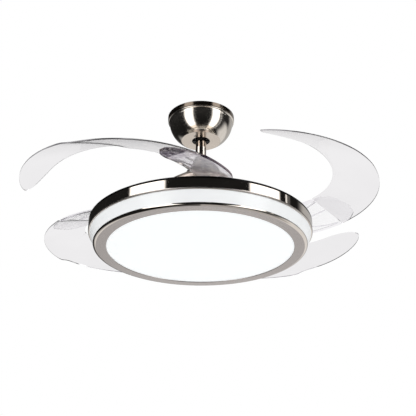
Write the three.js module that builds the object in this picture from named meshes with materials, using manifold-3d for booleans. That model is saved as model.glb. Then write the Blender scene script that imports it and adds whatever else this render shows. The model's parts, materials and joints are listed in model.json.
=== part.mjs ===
// A ceiling fan with a round light and four clear sickle blades that fold in over the light.
// Millimetres. The origin is on the ceiling, on the fan's axis; +Z is up, so the fan hangs below zero.
// It is drawn with its blades part open, as a fan coming up to speed.

import * as THREE from 'three';
import { mergeVertices } from 'three/addons/utils/BufferGeometryUtils.js';
import Module from 'manifold-3d';

const wasm = await Module();
wasm.setup();

// ---------------------------------------------------------------- driving dimensions

const overallDrop = 340; // ceiling to the lowest face
const seatGap = 0.3; // between pieces that rest on each other
const runGap = 0.4; // radial room round a turning piece

// Light
const bandRadius = 250;
const bandHeight = 27;
const panWall = 1.2;
const panHoleRadius = 15;
const lensHeight = 25;
const lensInset = 3; // lens top inside the band
const lensTaper = 8.5; // lens bottom inside its top
const lensWall = 2.6;
const lensLip = 9;
const bezelHeight = 5.4;
const bezelRollWidth = 9; // from the lens in to the flat face
const bezelFaceWidth = 21.1;
const bezelWall = 1.2;
const diffuserLap = 6;
const diffuserThickness = 2.5;
const diffuserCrown = 1.5;
const bezelPostCount = 4;
const bezelPostRadius = 4;
const bezelFrameWidth = 12;
const bezelFrameThickness = 1.6;
const ledPlateInset = 12.4; // inside the bezel's opening
const ledPlateThickness = 1.5;
const ledPlateHeight = 38; // above the light's face
const ledPlateLugInset = 8;
const ledBoardInnerRadius = 45;
const ledBoardInset = 14; // inside the carrier plate's edge
const ledBoardThickness = 1.6;
const ledBoardHubWidth = 22;
const ledArmCount = 6;
const ledArmWidth = 18;
const driverLength = 110;
const driverWidth = 58;
const driverHeight = 13;
const driverFootRoom = 5; // between the driver's foot and a stud of the carrier plate
const driverFootThickness = 2;

// Hanging shaft and light hub
const shaftRadius = 7.5;
const shaftBoreRadius = 4.8;
const nutThreadBelow = 2; // shaft end below the nut
const hubFlangeRadius = 40;
const hubFlangeThickness = 3.5;
const hubNeckRadius = 14;
const hubNeckHeight = 12;
const shaftNutRadius = 14;
const shaftNutHeight = 6;

// Blade tray and synchronising gears
const trayAbovePan = 2.5;
const trayThickness = 2;
const trayDiscRadius = 122;
const trayHoleRadius = 26;
const trayWebWidth = 44;
const trayEarRadius = 22;
const trayWindowWidth = 34;
const trayWindowArc = 22; // degrees between the centres of its round ends
const pivotInset = 42.5; // inside the blades' outer edge
const bladeCount = 4;
const firstPivotAngle = -78.6; // degrees from +X
const gearLift = 1.2; // gears above the tray
const gearThickness = 3.8;
const gearModule = 2;
const sectorToothCount = 32; // of a whole wheel
const pressureAngle = 20;
const toothBacklash = 0.35;
const ringRimWidth = 12;
const ringBoreRadius = 60;
const ringCollarWidth = 9;
const ringSpokeWidth = 16;
const ringMarginTeeth = 1.6; // teeth beyond the swing, each side
const sectorMarginTeeth = 1.25;
const stopPinRadius = 5;
const stopPinCircleRadius = 113;
const stopPinHeight = 8;
const stopFootRadius = 2.5;
const stopRoom = 2; // left at each end of the swing for the rubber

// Blades
const bladeInset = 10.5; // outer edge of a shut blade inside the band
const bladeWidth = 95;
const bladeThickness = 2.3;
const bladeEdgeHeight = 3; // outer edge above the tray, at the pivot
const bladeClimbHeight = 15.57; // rise from the pivot to the tip
const bladeJoggleHeight = 5.5; // step up that clears the next blade's arm
const bladeJoggleStartArc = 98; // degrees along the outer edge
const bladeJoggleEndArc = 104;
const bladeJoggleLeanArc = 26; // how much sooner the step crosses the inner edge
const bladePitchAngle = 18.5; // degrees, inner edge high
const bladeCamberHeight = 1.5;
const bladeRootArc = 34; // degrees from the pivot to the blade's root end
const bladeTipArc = 168.5;
const bladeTaperDepth = 45; // how far the inner edge draws in by the tip
const bladeTipInset = 14.5; // middle of the tip inside the outer edge
const bladeTipWidth = 4;
const bladeTipOuterArc = 8; // degrees over which the tip is rounded off
const bladeTipInnerArc = 20;
const bladeFullWidth = 60; // the camber fades where the blade is narrower
const bladeNotchDepth = 3; // outer edge draws in by this at the joggle
const bladeOuterTaperDepth = 4; // and by this more over the arc below
const bladeOuterTaperArc = 40; // degrees
const closedSwingAngle = 61.3; // drawn pose back to shut, degrees
const openSwingAngle = 40; // drawn pose on to fully open

// Blade arms and pivots
const armEndArc = 50;
const armTailArc = -5;
const armTailTaperArc = 15; // degrees over which the arm widens from its tail
const armEndTaperArc = 7;
const armEndShare = 0.02; // of the full width, left at each end
const armFlangeStartArc = 1;
const armOuterInset = 3;
const armInnerInset = 2;
const armEndHalfWidth = 8; // where the arm wraps the pivot
const armEdgeThickness = 2.6;
const armThickness = 6.5;
const armFlangeHeight = 4;
const armFlangeWidth = 3;
const hubRadius = 17;
const hubTopAboveTray = 17;
const pivotRadius = 5.5;
const pivotHeadRadius = 9;
const pivotHeadHeight = 3.6;
const pivotFootRadius = 8;
const pivotHeadRoom = 4;
const springWireRadius = 0.8;
const springRadius = 8.6; // middle of the wire
const springTurns = 3;
const springPitch = 2.2;
const springRoom = 1.2;

// Motor
const motorRadius = 84;
const motorWall = 2;
const motorFlangeWidth = 5;
const motorFlangeThickness = 4;
const motorEdgeBevel = 8;
const motorThroat = 3; // open ring between the shaft and each shell
const bearingFloor = 3; // thicker floor round the lower bearing
const rotorHubRadius = 59;
const rotorHubBore = 44;
const rotorHubHeight = 21;
const rotorHubStep = 5;
const lowerShellHeight = 34;
const upperShellHeight = 79;
const domeTopRadius = 20;
const domeRise = 50;
const bearingRadius = 17.5;
const bearingHeight = 11;
const bearingBossWall = 4;
const magnetThickness = 6;
const magnetHeight = 26;
const magnetAboveJoint = 18;
const statorAirGap = 3.7; // to the magnets, which are faceted here
const statorHeight = 18;
const statorPoleLength = 26;
const statorPoles = 12;
const statorPoleWidth = 12;
const statorShoeWidth = 26;
const statorShoeDepth = 4;
const statorWindingRise = 5;

// Yoke, rod and cover
const yokeRadius = 16;
const yokeHeight = 19;
const yokeAboveDome = 3;
const shaftInYoke = 8.5;
const yokePinRadius = 2.5;
const yokePinProud = 1.5; // beyond the yoke, each end
const coverBottomRadius = 29.5;
const coverHeight = 36;
const coverWall = 1.2;
const coverAboveDome = 1;
const coverFlare = 1.25;
const coverTopRadius = 14.5;
const rodRadius = 12.5;
const rodWall = 1.8;

// Hanger ball, bracket and canopy
const ballRadius = 20;
const ballDepth = 40; // ball centre below the ceiling
const ballFlat = 14; // top flat above the ball's centre
const rodAboveBall = 16; // rod's top above the ball's centre
const ballPinRadius = 2.5;
const ballPinHeight = 8.5;
const ballPinLength = 33;
const cupClearance = 0.6; // between the ball and its cup
const gateClearance = 1; // each side of the rod, where the ball is hooked in
const bracketEndRoom = 11.9; // from the canopy's rim in to each end of the bracket
const bracketWidth = 36;
const bracketPlate = 2.5;
const bracketLegSpan = 54; // between the legs
const bracketSeatDepth = 52.5;
const bracketEarDepth = 14;
const bracketEarWidth = 16;
const bracketSlotSpacing = 84;
const bracketSlotLength = 18;
const bracketSlotWidth = 6;
const receiverLength = 62;
const receiverHeight = 16;
const receiverSideGap = 1;
const canopyRimDepth = 12; // straight part below the ceiling
const canopyDepth = 63.2;
const canopyBowlInset = 25.7; // from the rim in to the flat
const canopyCurveFall = 1.9; // how late and how fast the bowl turns in
const canopyCurveTurn = 0.65;
const canopyHoleRadius = 20.5;
const canopyWall = 1.2;
const canopyCableHoleRadius = 2.6;
const canopyCableHoleX = -14;
const canopyCableHoleY = -24.5;
const canopyRingRadius = 78.4;
const canopyRingWidth = 2.5;
const canopyRingHeight = 8;
const canopyRingBevel = 1.5;
const canopyScrewRadius = 2;
const canopyScrewLength = 9;

// ---------------------------------------------------------------- radii, from the band in

const lensTopRadius = bandRadius - lensInset;
const lensBottomRadius = lensTopRadius - lensTaper;
const bezelFaceRadius = lensBottomRadius - bezelRollWidth;
const bezelOpeningRadius = bezelFaceRadius - bezelFaceWidth;
const ledPlateRadius = bezelOpeningRadius - ledPlateInset;
const ledBoardOuterRadius = ledPlateRadius - ledBoardInset;
const driverFootLength = driverLength + ledArmWidth;
const driverFootEnd = ledPlateRadius - ledPlateLugInset - bezelPostRadius - driverFootRoom;
const driverOffset = driverFootEnd - driverFootLength / 2;
const bladeOuterRadius = bandRadius - bladeInset;
const bladeInnerRadius = bladeOuterRadius - bladeWidth;
const bladeTipRadius = bladeOuterRadius - bladeTipInset;
const pivotCircleRadius = bladeOuterRadius - pivotInset;
const magnetOuterRadius = motorRadius - motorWall - seatGap;
const magnetInnerRadius = magnetOuterRadius - magnetThickness;
const statorRadius = magnetInnerRadius - statorAirGap;
const statorCoreRadius = statorRadius - statorPoleLength;
const canopyRimRadius = canopyRingRadius - canopyRingWidth;
const canopyFlatRadius = canopyRimRadius - canopyBowlInset;
const bracketLength = 2 * (canopyRimRadius - bracketEndRoom);

// ---------------------------------------------------------------- heights, from the light's face up

const faceZ = -overallDrop;
const lensZ = faceZ + bezelHeight + seatGap;
const bandZ = lensZ + lensHeight + seatGap;
const panTopZ = bandZ + bandHeight;
const trayZ = panTopZ + trayAbovePan;
const trayTopZ = trayZ + trayThickness;
const gearZ = trayTopZ + gearLift;
const gearTopZ = gearZ + gearThickness;
const rotorHubZ = trayTopZ + seatGap;
const motorZ = rotorHubZ + rotorHubHeight + seatGap;
const motorJointZ = motorZ + lowerShellHeight;
const domeTopZ = motorJointZ + seatGap + upperShellHeight;
const yokeZ = domeTopZ + yokeAboveDome;
const yokeTopZ = yokeZ + yokeHeight;
const shaftTopZ = yokeZ + shaftInYoke;
const rodZ = shaftTopZ + 2 * seatGap;
const ballZ = -ballDepth;
const hubTopZ = trayTopZ + hubTopAboveTray;
const past = 1; // how far a cut runs beyond what it cuts

const circleSteps = 48; // faces round the light
const middleSteps = 24; // round the motor and the canopy
const canopySteps = 32;
const rodSteps = 16;
const smallSteps = 12;
const toRadians = Math.PI / 180;

// ---------------------------------------------------------------- finishes

function finish(color, roughness, metalness, opacity = 1) {
  return { color, roughness, metalness, opacity, transparent: opacity < 1 };
}

const polishedNickel = finish(0xc9c3bd, 0.12, 1);
const brushedNickel = finish(0xb3a497, 0.35, 1);
const zincSteel = finish(0xb9bcbf, 0.4, 0.9);
const darkSteel = finish(0x4c4a48, 0.45, 0.8);
const castAluminium = finish(0xa7a9ab, 0.5, 0.8);
const clearPlastic = finish(0xe8e6e7, 0.08, 0, 0.35);
const opalPlastic = finish(0xf4f5f6, 0.35, 0);
const whitePlastic = finish(0xeeeeec, 0.5, 0);
const nylon = finish(0xe6e2d8, 0.55, 0);
const circuitWhite = finish(0xf2f2ee, 0.6, 0);
const copper = finish(0xb06a3b, 0.4, 0.9);
const magnetGrey = finish(0x37373a, 0.6, 0.3);
const blackRubber = finish(0x1c1c1d, 0.85, 0);

const fan = new THREE.Group();

function piece(name, body, surface, parent = fan) {
  const mesh = new THREE.Mesh(geometryOf(body), new THREE.MeshStandardMaterial(surface));
  mesh.name = name;
  parent.add(mesh);
  return mesh;
}

// ---------------------------------------------------------------- solids

// A closed geometry as a solid that can be joined and cut.
function solid(geometry) {
  const bare = geometry.clone();
  bare.deleteAttribute('normal');
  bare.deleteAttribute('uv');
  const merged = mergeVertices(bare, 1e-4);
  const corners = merged.index.array;
  const triangles = [];
  for (let i = 0; i < corners.length; i += 3) {
    const [a, b, c] = corners.slice(i, i + 3);
    if (a !== b && b !== c && c !== a) triangles.push(a, b, c);
  }
  const mesh = new wasm.Mesh({
    numProp: 3,
    vertProperties: merged.attributes.position.array,
    triVerts: new Uint32Array(triangles),
  });
  return new wasm.Manifold(mesh);
}

function geometryOf(body) {
  const { vertProperties, triVerts } = body.getMesh();
  const geometry = new THREE.BufferGeometry();
  geometry.setAttribute('position', new THREE.BufferAttribute(new Float32Array(vertProperties), 3));
  geometry.setIndex(new THREE.BufferAttribute(new Uint32Array(triVerts), 1));
  geometry.computeVertexNormals();
  return geometry;
}

// Turns an outline of [radius, height] points round the Z axis. The outline closes on itself.
function revolve(outline, steps = circleSteps) {
  const points = outline.map(([radius, height]) => new THREE.Vector2(radius, height));
  if (THREE.ShapeUtils.area(points) < 0) points.reverse();
  points.push(points[0].clone());
  return solid(new THREE.LatheGeometry(points, steps).rotateX(Math.PI / 2));
}

// A flat ring, or a disc where the inner radius is zero.
function ring(inner, outer, bottom, top, steps = circleSteps) {
  return revolve([[inner, bottom], [outer, bottom], [outer, top], [inner, top]], steps);
}

function column(radius, bottom, top, x = 0, y = 0, steps = smallSteps) {
  const geometry = new THREE.CylinderGeometry(radius, radius, top - bottom, steps);
  return solid(geometry.rotateX(Math.PI / 2).translate(x, y, (bottom + top) / 2));
}

// A round bar that lies along X.
function barAlongX(radius, start, end, z, steps = smallSteps) {
  const geometry = new THREE.CylinderGeometry(radius, radius, end - start, steps);
  return solid(geometry.rotateZ(Math.PI / 2).translate((start + end) / 2, 0, z));
}

function block(x0, x1, y0, y1, z0, z1) {
  const geometry = new THREE.BoxGeometry(x1 - x0, y1 - y0, z1 - z0);
  return solid(geometry.translate((x0 + x1) / 2, (y0 + y1) / 2, (z0 + z1) / 2));
}

function extrude(shape, bottom, top) {
  const depth = top - bottom;
  const geometry = new THREE.ExtrudeGeometry(shape, { depth, bevelEnabled: false, curveSegments: 3 });
  return solid(geometry.translate(0, 0, bottom));
}

// A straight slot with round ends, centred on a point and lying along X.
function slotShape(length, width, x = 0, y = 0) {
  const shape = new THREE.Shape();
  const reach = (length - width) / 2;
  shape.absarc(x + reach, y, width / 2, -Math.PI / 2, Math.PI / 2, false);
  shape.absarc(x - reach, y, width / 2, Math.PI / 2, 1.5 * Math.PI, false);
  return shape;
}

// An arc-shaped slot with round ends, between two angles in degrees.
function arcSlotShape(radius, width, from, to) {
  const [start, end] = [from * toRadians, to * toRadians];
  const half = width / 2;
  const shape = new THREE.Shape();
  const roundEnd = (at, turn) => {
    shape.absarc(radius * Math.cos(at), radius * Math.sin(at), half, turn, turn + Math.PI, false);
  };
  shape.absarc(0, 0, radius + half, start, end, false);
  roundEnd(end, end);
  shape.absarc(0, 0, radius - half, end, start, true);
  roundEnd(start, start + Math.PI);
  return shape;
}

function turned(body, degrees) {
  return body.rotate([0, 0, degrees]);
}

function smoothStep(value, from, to) {
  return THREE.MathUtils.smoothstep(value, from, to);
}

// Joins two grids of points, a top and a bottom, into one closed curved plate.
// Rows run along the plate and columns across it.
function plate(top, bottom) {
  const rows = top.length;
  const columns = top[0].length;
  const positions = [...top.flat(), ...bottom.flat()].flat();
  const index = [];
  const at = (row, col, under) => (under ? rows * columns : 0) + row * columns + col;
  const quad = (a, b, c, d) => index.push(a, c, b, a, d, c);
  for (let row = 0; row + 1 < rows; row += 1) {
    for (let col = 0; col + 1 < columns; col += 1) {
      quad(at(row, col), at(row + 1, col), at(row + 1, col + 1), at(row, col + 1));
      quad(at(row, col, true), at(row, col + 1, true), at(row + 1, col + 1, true), at(row + 1, col, true));
    }
    quad(at(row, 0, true), at(row + 1, 0, true), at(row + 1, 0), at(row, 0));
    const last = columns - 1;
    quad(at(row, last), at(row + 1, last), at(row + 1, last, true), at(row, last, true));
  }
  for (let col = 0; col + 1 < columns; col += 1) {
    quad(at(0, col, true), at(0, col), at(0, col + 1), at(0, col + 1, true));
    const end = rows - 1;
    quad(at(end, col), at(end, col, true), at(end, col + 1, true), at(end, col + 1));
  }
  const geometry = new THREE.BufferGeometry();
  geometry.setAttribute('position', new THREE.Float32BufferAttribute(positions, 3));
  geometry.setIndex(index);
  return solid(geometry);
}

function range(count) {
  return [...Array(count).keys()];
}

// ---------------------------------------------------------------- light

function makeLight() {
  const pan = revolve([
    [panHoleRadius, panTopZ - panWall],
    [bandRadius - panWall, panTopZ - panWall],
    [bandRadius - panWall, bandZ],
    [bandRadius, bandZ],
    [bandRadius, panTopZ - panWall],
    [bandRadius - panWall, panTopZ],
    [panHoleRadius, panTopZ],
  ]);
  piece('light_pan', pan, polishedNickel);

  const lensTop = lensZ + lensHeight;
  const lens = revolve([
    [lensBottomRadius - lensWall, lensZ],
    [lensBottomRadius, lensZ],
    [lensTopRadius, lensTop],
    [lensTopRadius - lensLip, lensTop],
    [lensTopRadius - lensLip, lensTop - lensWall],
    [lensTopRadius - lensWall, lensTop - lensWall],
  ]);
  piece('side_lens', lens, opalPlastic);

  // The bezel's face turns in as a flat ring, and its edge rolls up to the lens in a quarter round.
  const bezelTop = faceZ + bezelHeight;
  const bezelLedge = faceZ + bezelWall;
  const roll = (wall, steps) => range(steps + 1).map((step) => {
    const angle = ((1 - step / steps) * Math.PI) / 2;
    const radius = bezelFaceRadius + (bezelRollWidth - seatGap - wall) * Math.cos(angle);
    return [radius, bezelTop - (bezelHeight - wall) * Math.sin(angle)];
  });
  const bezel = revolve([
    [bezelOpeningRadius, faceZ],
    ...roll(0, 3),
    ...roll(bezelWall, 1).reverse(),
    [bezelOpeningRadius, bezelLedge],
  ]);
  piece('bezel', bezel, brushedNickel);

  const diffuserRadius = bezelOpeningRadius + diffuserLap;
  const diffuserZ = bezelLedge + seatGap;
  const crownZ = diffuserZ + diffuserThickness + diffuserCrown;
  const diffuser = revolve([
    [0, crownZ - diffuserThickness],
    [bezelOpeningRadius / 2, crownZ - diffuserThickness - diffuserCrown / 3],
    [bezelOpeningRadius, diffuserZ],
    [diffuserRadius, diffuserZ],
    [diffuserRadius, diffuserZ + diffuserThickness],
    [0, crownZ],
  ]);
  piece('diffuser', diffuser, opalPlastic);

  // A flat ring under the pan carries the posts that the bezel screws to.
  const postCircle = diffuserRadius + seatGap + bezelPostRadius + runGap;
  const frameTop = panTopZ - panWall - seatGap;
  let frame = ring(
    postCircle - bezelFrameWidth / 2,
    postCircle + bezelFrameWidth / 2,
    frameTop - bezelFrameThickness,
    frameTop,
    middleSteps,
  );
  for (const post of range(bezelPostCount)) {
    const angle = (2 * Math.PI * (post + 0.5)) / bezelPostCount;
    const [x, y] = [postCircle * Math.cos(angle), postCircle * Math.sin(angle)];
    frame = frame.add(column(bezelPostRadius, bezelLedge + seatGap, frameTop - past, x, y));
  }
  piece('bezel_frame', frame, zincSteel);

  const ledPlateZ = faceZ + ledPlateHeight;
  const ledPlateTop = ledPlateZ + ledPlateThickness;
  let ledPlate = ring(panHoleRadius, ledPlateRadius, ledPlateZ, ledPlateTop, middleSteps);
  // Studs near the plate's edge hold it under the pan.
  for (const lug of range(bezelPostCount)) {
    const stud = column(bezelPostRadius, ledPlateZ, frameTop, ledPlateRadius - ledPlateLugInset);
    ledPlate = ledPlate.add(turned(stud, (360 * lug) / bezelPostCount));
  }
  piece('led_plate', ledPlate, whitePlastic);

  // The light board is a star whose arms carry the lamps on their undersides.
  const boardTop = ledPlateZ - seatGap;
  const boardZ = boardTop - ledBoardThickness;
  const boardHubRadius = ledBoardInnerRadius + ledBoardHubWidth;
  const armHalf = ledArmWidth / 2;
  let board = ring(ledBoardInnerRadius, boardHubRadius, boardZ, boardTop, middleSteps);
  for (const arm of range(ledArmCount)) {
    const strip = block(boardHubRadius - armHalf, ledBoardOuterRadius, -armHalf, armHalf, boardZ, boardTop);
    board = board.add(turned(strip, (360 * (arm + 0.5)) / ledArmCount));
  }
  piece('led_board', board, circuitWhite);

  const driverZ = ledPlateTop + seatGap;
  const driverBox = block(
    driverOffset - driverLength / 2,
    driverOffset + driverLength / 2,
    -driverWidth / 2,
    driverWidth / 2,
    driverZ,
    driverZ + driverHeight,
  );
  const foot = slotShape(driverFootLength, ledArmWidth, driverOffset);
  const feet = extrude(foot, driverZ, driverZ + driverFootThickness);
  piece('led_driver', driverBox.add(feet), whitePlastic);

  const flangeTop = panTopZ - panWall - seatGap;
  const flangeZ = flangeTop - hubFlangeThickness;
  const neckTop = flangeTop + hubNeckHeight;
  const boreRadius = shaftRadius + seatGap;
  const hub = revolve(
    [
      [boreRadius, flangeZ],
      [hubFlangeRadius, flangeZ],
      [hubFlangeRadius, flangeTop],
      [hubNeckRadius, flangeTop],
      [hubNeckRadius, neckTop],
      [boreRadius, neckTop],
    ],
    middleSteps,
  );
  piece('light_hub', hub, castAluminium);

  const nutTop = flangeZ - seatGap;
  const hexagon = column(shaftNutRadius, nutTop - shaftNutHeight, nutTop, 0, 0, 6);
  const thread = column(boreRadius, nutTop - shaftNutHeight - past, nutTop + past);
  piece('shaft_nut', hexagon.subtract(thread), zincSteel);
  const shaftEnd = nutTop - shaftNutHeight - nutThreadBelow;
  const shaft = ring(shaftBoreRadius, shaftRadius, shaftEnd, shaftTopZ, smallSteps);
  piece('motor_shaft', shaft, darkSteel);
}

// ---------------------------------------------------------------- motor

function makeMotor() {
  const boreRadius = shaftRadius + seatGap;
  const seatRadius = bearingRadius + seatGap;
  const bossRadius = seatRadius + bearingBossWall;
  const inner = motorRadius - motorWall;
  const floorTop = motorZ + bearingFloor;
  const lowerBossTop = motorZ + motorWall + bearingHeight + 2 * seatGap;
  const throatRadius = shaftRadius + motorThroat;

  const lower = revolve(
    [
      [throatRadius, motorZ],
      [motorRadius - motorEdgeBevel, motorZ],
      [motorRadius, motorZ + motorEdgeBevel],
      [motorRadius, motorJointZ - motorFlangeThickness],
      [motorRadius + motorFlangeWidth, motorJointZ - motorFlangeThickness],
      [motorRadius + motorFlangeWidth, motorJointZ],
      [inner, motorJointZ],
      [inner, floorTop + motorEdgeBevel - motorWall],
      [inner - motorEdgeBevel + motorWall, floorTop],
      [bossRadius, floorTop],
      [bossRadius, lowerBossTop],
      [seatRadius, lowerBossTop],
      [seatRadius, motorZ + motorWall],
      [throatRadius, motorZ + motorWall],
    ],
    middleSteps,
  );
  piece('motor_lower_shell', lower, brushedNickel);

  // The upper shell domes over in a quarter ellipse to the flat round the shaft.
  const jointZ = motorJointZ + seatGap;
  const domeBaseZ = domeTopZ - domeRise;
  const dome = (wall, steps) => range(steps + 1).map((step) => {
    const angle = (step / steps) * (Math.PI / 2);
    const radius = domeTopRadius + (motorRadius - wall - domeTopRadius) * Math.cos(angle);
    return [radius, domeBaseZ + (domeRise - wall) * Math.sin(angle)];
  });
  const upperSeatTop = domeTopZ - motorWall;
  const upperBossZ = upperSeatTop - bearingHeight - 2 * seatGap;
  const insideDome = dome(motorWall, 3).reverse().filter(([radius]) => radius > bossRadius + 1);
  const upper = revolve(
    [
      [motorRadius + motorFlangeWidth, jointZ],
      [motorRadius + motorFlangeWidth, jointZ + motorFlangeThickness],
      [motorRadius, jointZ + motorFlangeThickness],
      ...dome(0, 6),
      [throatRadius, domeTopZ],
      [throatRadius, upperSeatTop],
      [seatRadius, upperSeatTop],
      [seatRadius, upperBossZ],
      [bossRadius, upperBossZ],
      [bossRadius, upperSeatTop - motorWall / 2],
      ...insideDome,
      [inner, jointZ],
    ],
    middleSteps,
  );
  piece('motor_upper_shell', upper, brushedNickel);

  const lowerBearingZ = motorZ + motorWall + seatGap;
  const upperBearingZ = upperSeatTop - seatGap - bearingHeight;
  const bearing = (z) => ring(boreRadius, bearingRadius, z, z + bearingHeight, smallSteps);
  piece('lower_bearing', bearing(lowerBearingZ), zincSteel);
  piece('upper_bearing', bearing(upperBearingZ), zincSteel);

  const magnetTop = motorJointZ + magnetAboveJoint;
  const magnetZ = magnetTop - magnetHeight;
  const magnets = ring(magnetInnerRadius, magnetOuterRadius, magnetZ, magnetTop, middleSteps);
  piece('magnet_ring', magnets, magnetGrey);

  // The wound core is a star of poles, each with a wide shoe that faces the magnets.
  const statorMiddle = magnetTop - magnetHeight / 2;
  const [statorZ, statorTop] = [statorMiddle - statorHeight / 2, statorMiddle + statorHeight / 2];
  const poleSide = [
    [statorCoreRadius, statorPoleWidth / 2],
    [statorRadius - statorShoeDepth, statorPoleWidth / 2],
    [statorRadius, statorShoeWidth / 2],
  ];
  const outline = range(statorPoles).flatMap((pole) => {
    const middle = (2 * Math.PI * pole) / statorPoles;
    const corner = (side) => ([radius, half]) => {
      const angle = middle + side * Math.asin(half / radius);
      return new THREE.Vector2(radius * Math.cos(angle), radius * Math.sin(angle));
    };
    return [...poleSide.map(corner(-1)), ...poleSide.map(corner(1)).reverse()];
  });
  const windingZ = statorZ - statorWindingRise;
  const windingTop = statorTop + statorWindingRise;
  const poles = extrude(new THREE.Shape(outline), statorZ, statorTop);
  const windings = ring(boreRadius, statorCoreRadius, windingZ, windingTop, middleSteps);
  const shaftHole = column(boreRadius, windingZ, windingTop);
  const stator = poles.subtract(shaftHole).add(windings);
  piece('stator', stator, copper);
}

// ---------------------------------------------------------------- blade tray and gears

const pivotAngles = range(bladeCount).map((blade) => firstPivotAngle + (360 * blade) / bladeCount);
const sectorRadius = (gearModule * sectorToothCount) / 2;
const ringGearRadius = pivotCircleRadius - sectorRadius;
const ringTeeth = (2 * ringGearRadius) / gearModule;
const ringRatio = sectorToothCount / ringTeeth;

// Two rubber stops stand in the ring gear's windows, where a spoke meets them at each end of the swing.
const stopReach = (ringSpokeWidth / 2 + stopPinRadius + stopRoom) / stopPinCircleRadius / toRadians;
const stopAngles = [
  pivotAngles[0] + closedSwingAngle * ringRatio + stopReach,
  pivotAngles[2] - openSwingAngle * ringRatio - stopReach,
];

// The outline of a run of involute teeth on a wheel, as [x, y] points from the first to the last angle.
// Teeth are centred on whole pitches from the middle angle, plus half a pitch where a gap is centred there.
function toothRun(pitchRadius, teeth, middle, first, last, gapCentred) {
  const pitch = 360 / teeth;
  const root = pitchRadius - 1.25 * gearModule;
  const tip = pitchRadius + gearModule;
  const base = pitchRadius * Math.cos(pressureAngle * toRadians);
  const involute = (angle) => Math.tan(angle) - angle;
  const flankAngle = (radius) => {
    const halfAtPitch = 90 / teeth - toothBacklash / (2 * pitchRadius) / toRadians;
    const lean = involute(pressureAngle * toRadians) - involute(Math.acos(Math.min(1, base / radius)));
    return halfAtPitch + lean / toRadians;
  };
  const radii = root > base ? [root, tip] : [root, pitchRadius, tip];
  const shift = gapCentred ? pitch / 2 : 0;
  const points = [];
  for (let tooth = Math.ceil((first - shift) / pitch); tooth * pitch + shift <= last; tooth += 1) {
    const centre = middle + tooth * pitch + shift;
    const rising = radii.map((radius) => [radius, centre - flankAngle(Math.max(radius, base))]);
    const falling = radii.map((radius) => [radius, centre + flankAngle(Math.max(radius, base))]).reverse();
    for (const [radius, angle] of [...rising, ...falling]) {
      points.push([radius * Math.cos(angle * toRadians), radius * Math.sin(angle * toRadians)]);
    }
  }
  return points;
}

function makeTray() {
  let tray = ring(trayHoleRadius, trayDiscRadius, trayZ, trayTopZ, middleSteps);
  const windowRadius = (rotorHubRadius + trayDiscRadius) / 2;
  const windowMiddle = 180 / bladeCount;
  const windowArc = [windowMiddle - trayWindowArc / 2, windowMiddle + trayWindowArc / 2];
  const opening = arcSlotShape(windowRadius, trayWindowWidth, ...windowArc);
  const window = extrude(opening, trayZ - past, trayTopZ + past);
  for (const angle of pivotAngles) {
    const webHalf = trayWebWidth / 2;
    const web = block(trayDiscRadius - webHalf, pivotCircleRadius, -webHalf, webHalf, trayZ, trayTopZ);
    const ear = column(trayEarRadius, trayZ, trayTopZ, pivotCircleRadius);
    const pivotHole = column(pivotRadius + seatGap, trayZ - past, trayTopZ + past, pivotCircleRadius);
    tray = tray.add(turned(web.add(ear), angle)).subtract(turned(pivotHole, angle));
    tray = tray.subtract(turned(window, angle));
  }
  for (const angle of stopAngles) {
    const hole = column(stopFootRadius + seatGap, trayZ - past, trayTopZ + past, stopPinCircleRadius);
    tray = tray.subtract(turned(hole, angle));
  }
  piece('blade_tray', tray, zincSteel);

  // The hub stands between the tray and the motor; its wide top keeps the ring gear down.
  const shoulderZ = gearTopZ + runGap;
  const hubTop = rotorHubZ + rotorHubHeight;
  const hub = revolve(
    [
      [rotorHubBore, rotorHubZ],
      [rotorHubRadius, rotorHubZ],
      [rotorHubRadius, shoulderZ],
      [rotorHubRadius + rotorHubStep, shoulderZ],
      [rotorHubRadius + rotorHubStep, hubTop],
      [rotorHubBore, hubTop],
    ],
    middleSteps,
  );
  piece('rotor_hub', hub, castAluminium);

  stopAngles.forEach((angle, index) => {
    const foot = column(stopFootRadius, trayZ, gearZ, stopPinCircleRadius);
    const sleeve = column(stopPinRadius, trayTopZ + seatGap, trayTopZ + stopPinHeight, stopPinCircleRadius);
    piece(`stop_bumper_${index + 1}`, turned(foot.add(sleeve), angle), blackRubber);
  });
}

// The ring gear keeps the four arms in step. Each stretch of teeth only reaches as far as its arm swings.
function makeSyncRing() {
  const pitch = 360 / ringTeeth;
  const meshMargin = ringMarginTeeth * pitch;
  const plainSteps = 6;
  const outline = [];
  const rimRadius = ringGearRadius - 1.25 * gearModule;
  for (const angle of pivotAngles) {
    const first = -closedSwingAngle * ringRatio - meshMargin;
    const last = openSwingAngle * ringRatio + meshMargin;
    const run = toothRun(ringGearRadius, ringTeeth, angle, first, last, false);
    outline.push(...run);
    const rest = 360 / bladeCount - (last - first);
    for (const step of range(plainSteps - 1)) {
      const at = (angle + last + (rest * (step + 1)) / plainSteps) * toRadians;
      outline.push([rimRadius * Math.cos(at), rimRadius * Math.sin(at)]);
    }
  }
  const wheel = new THREE.Shape(outline.map(([x, y]) => new THREE.Vector2(x, y)));
  const [cutZ, cutTop] = [gearZ - past, gearTopZ + past];
  const collar = ringBoreRadius + ringCollarWidth;
  const rimInner = rimRadius - ringRimWidth;
  const bore = column(ringBoreRadius, cutZ, cutTop, 0, 0, middleSteps);
  let body = extrude(wheel, gearZ, gearTopZ).subtract(bore);
  const windowWidth = rimInner - collar;
  const windowRadius = (rimInner + collar) / 2;
  for (const angle of pivotAngles) {
    const spokeHalf = Math.asin(ringSpokeWidth / 2 / windowRadius) / toRadians;
    const endRound = (windowWidth / 2 / windowRadius) / toRadians;
    const inset = spokeHalf + endRound;
    const opening = arcSlotShape(windowRadius, windowWidth, inset, 360 / bladeCount - inset);
    body = body.subtract(turned(extrude(opening, cutZ, cutTop), angle));
  }
  piece('sync_ring', body, nylon);
}

// ---------------------------------------------------------------- blades

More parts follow.
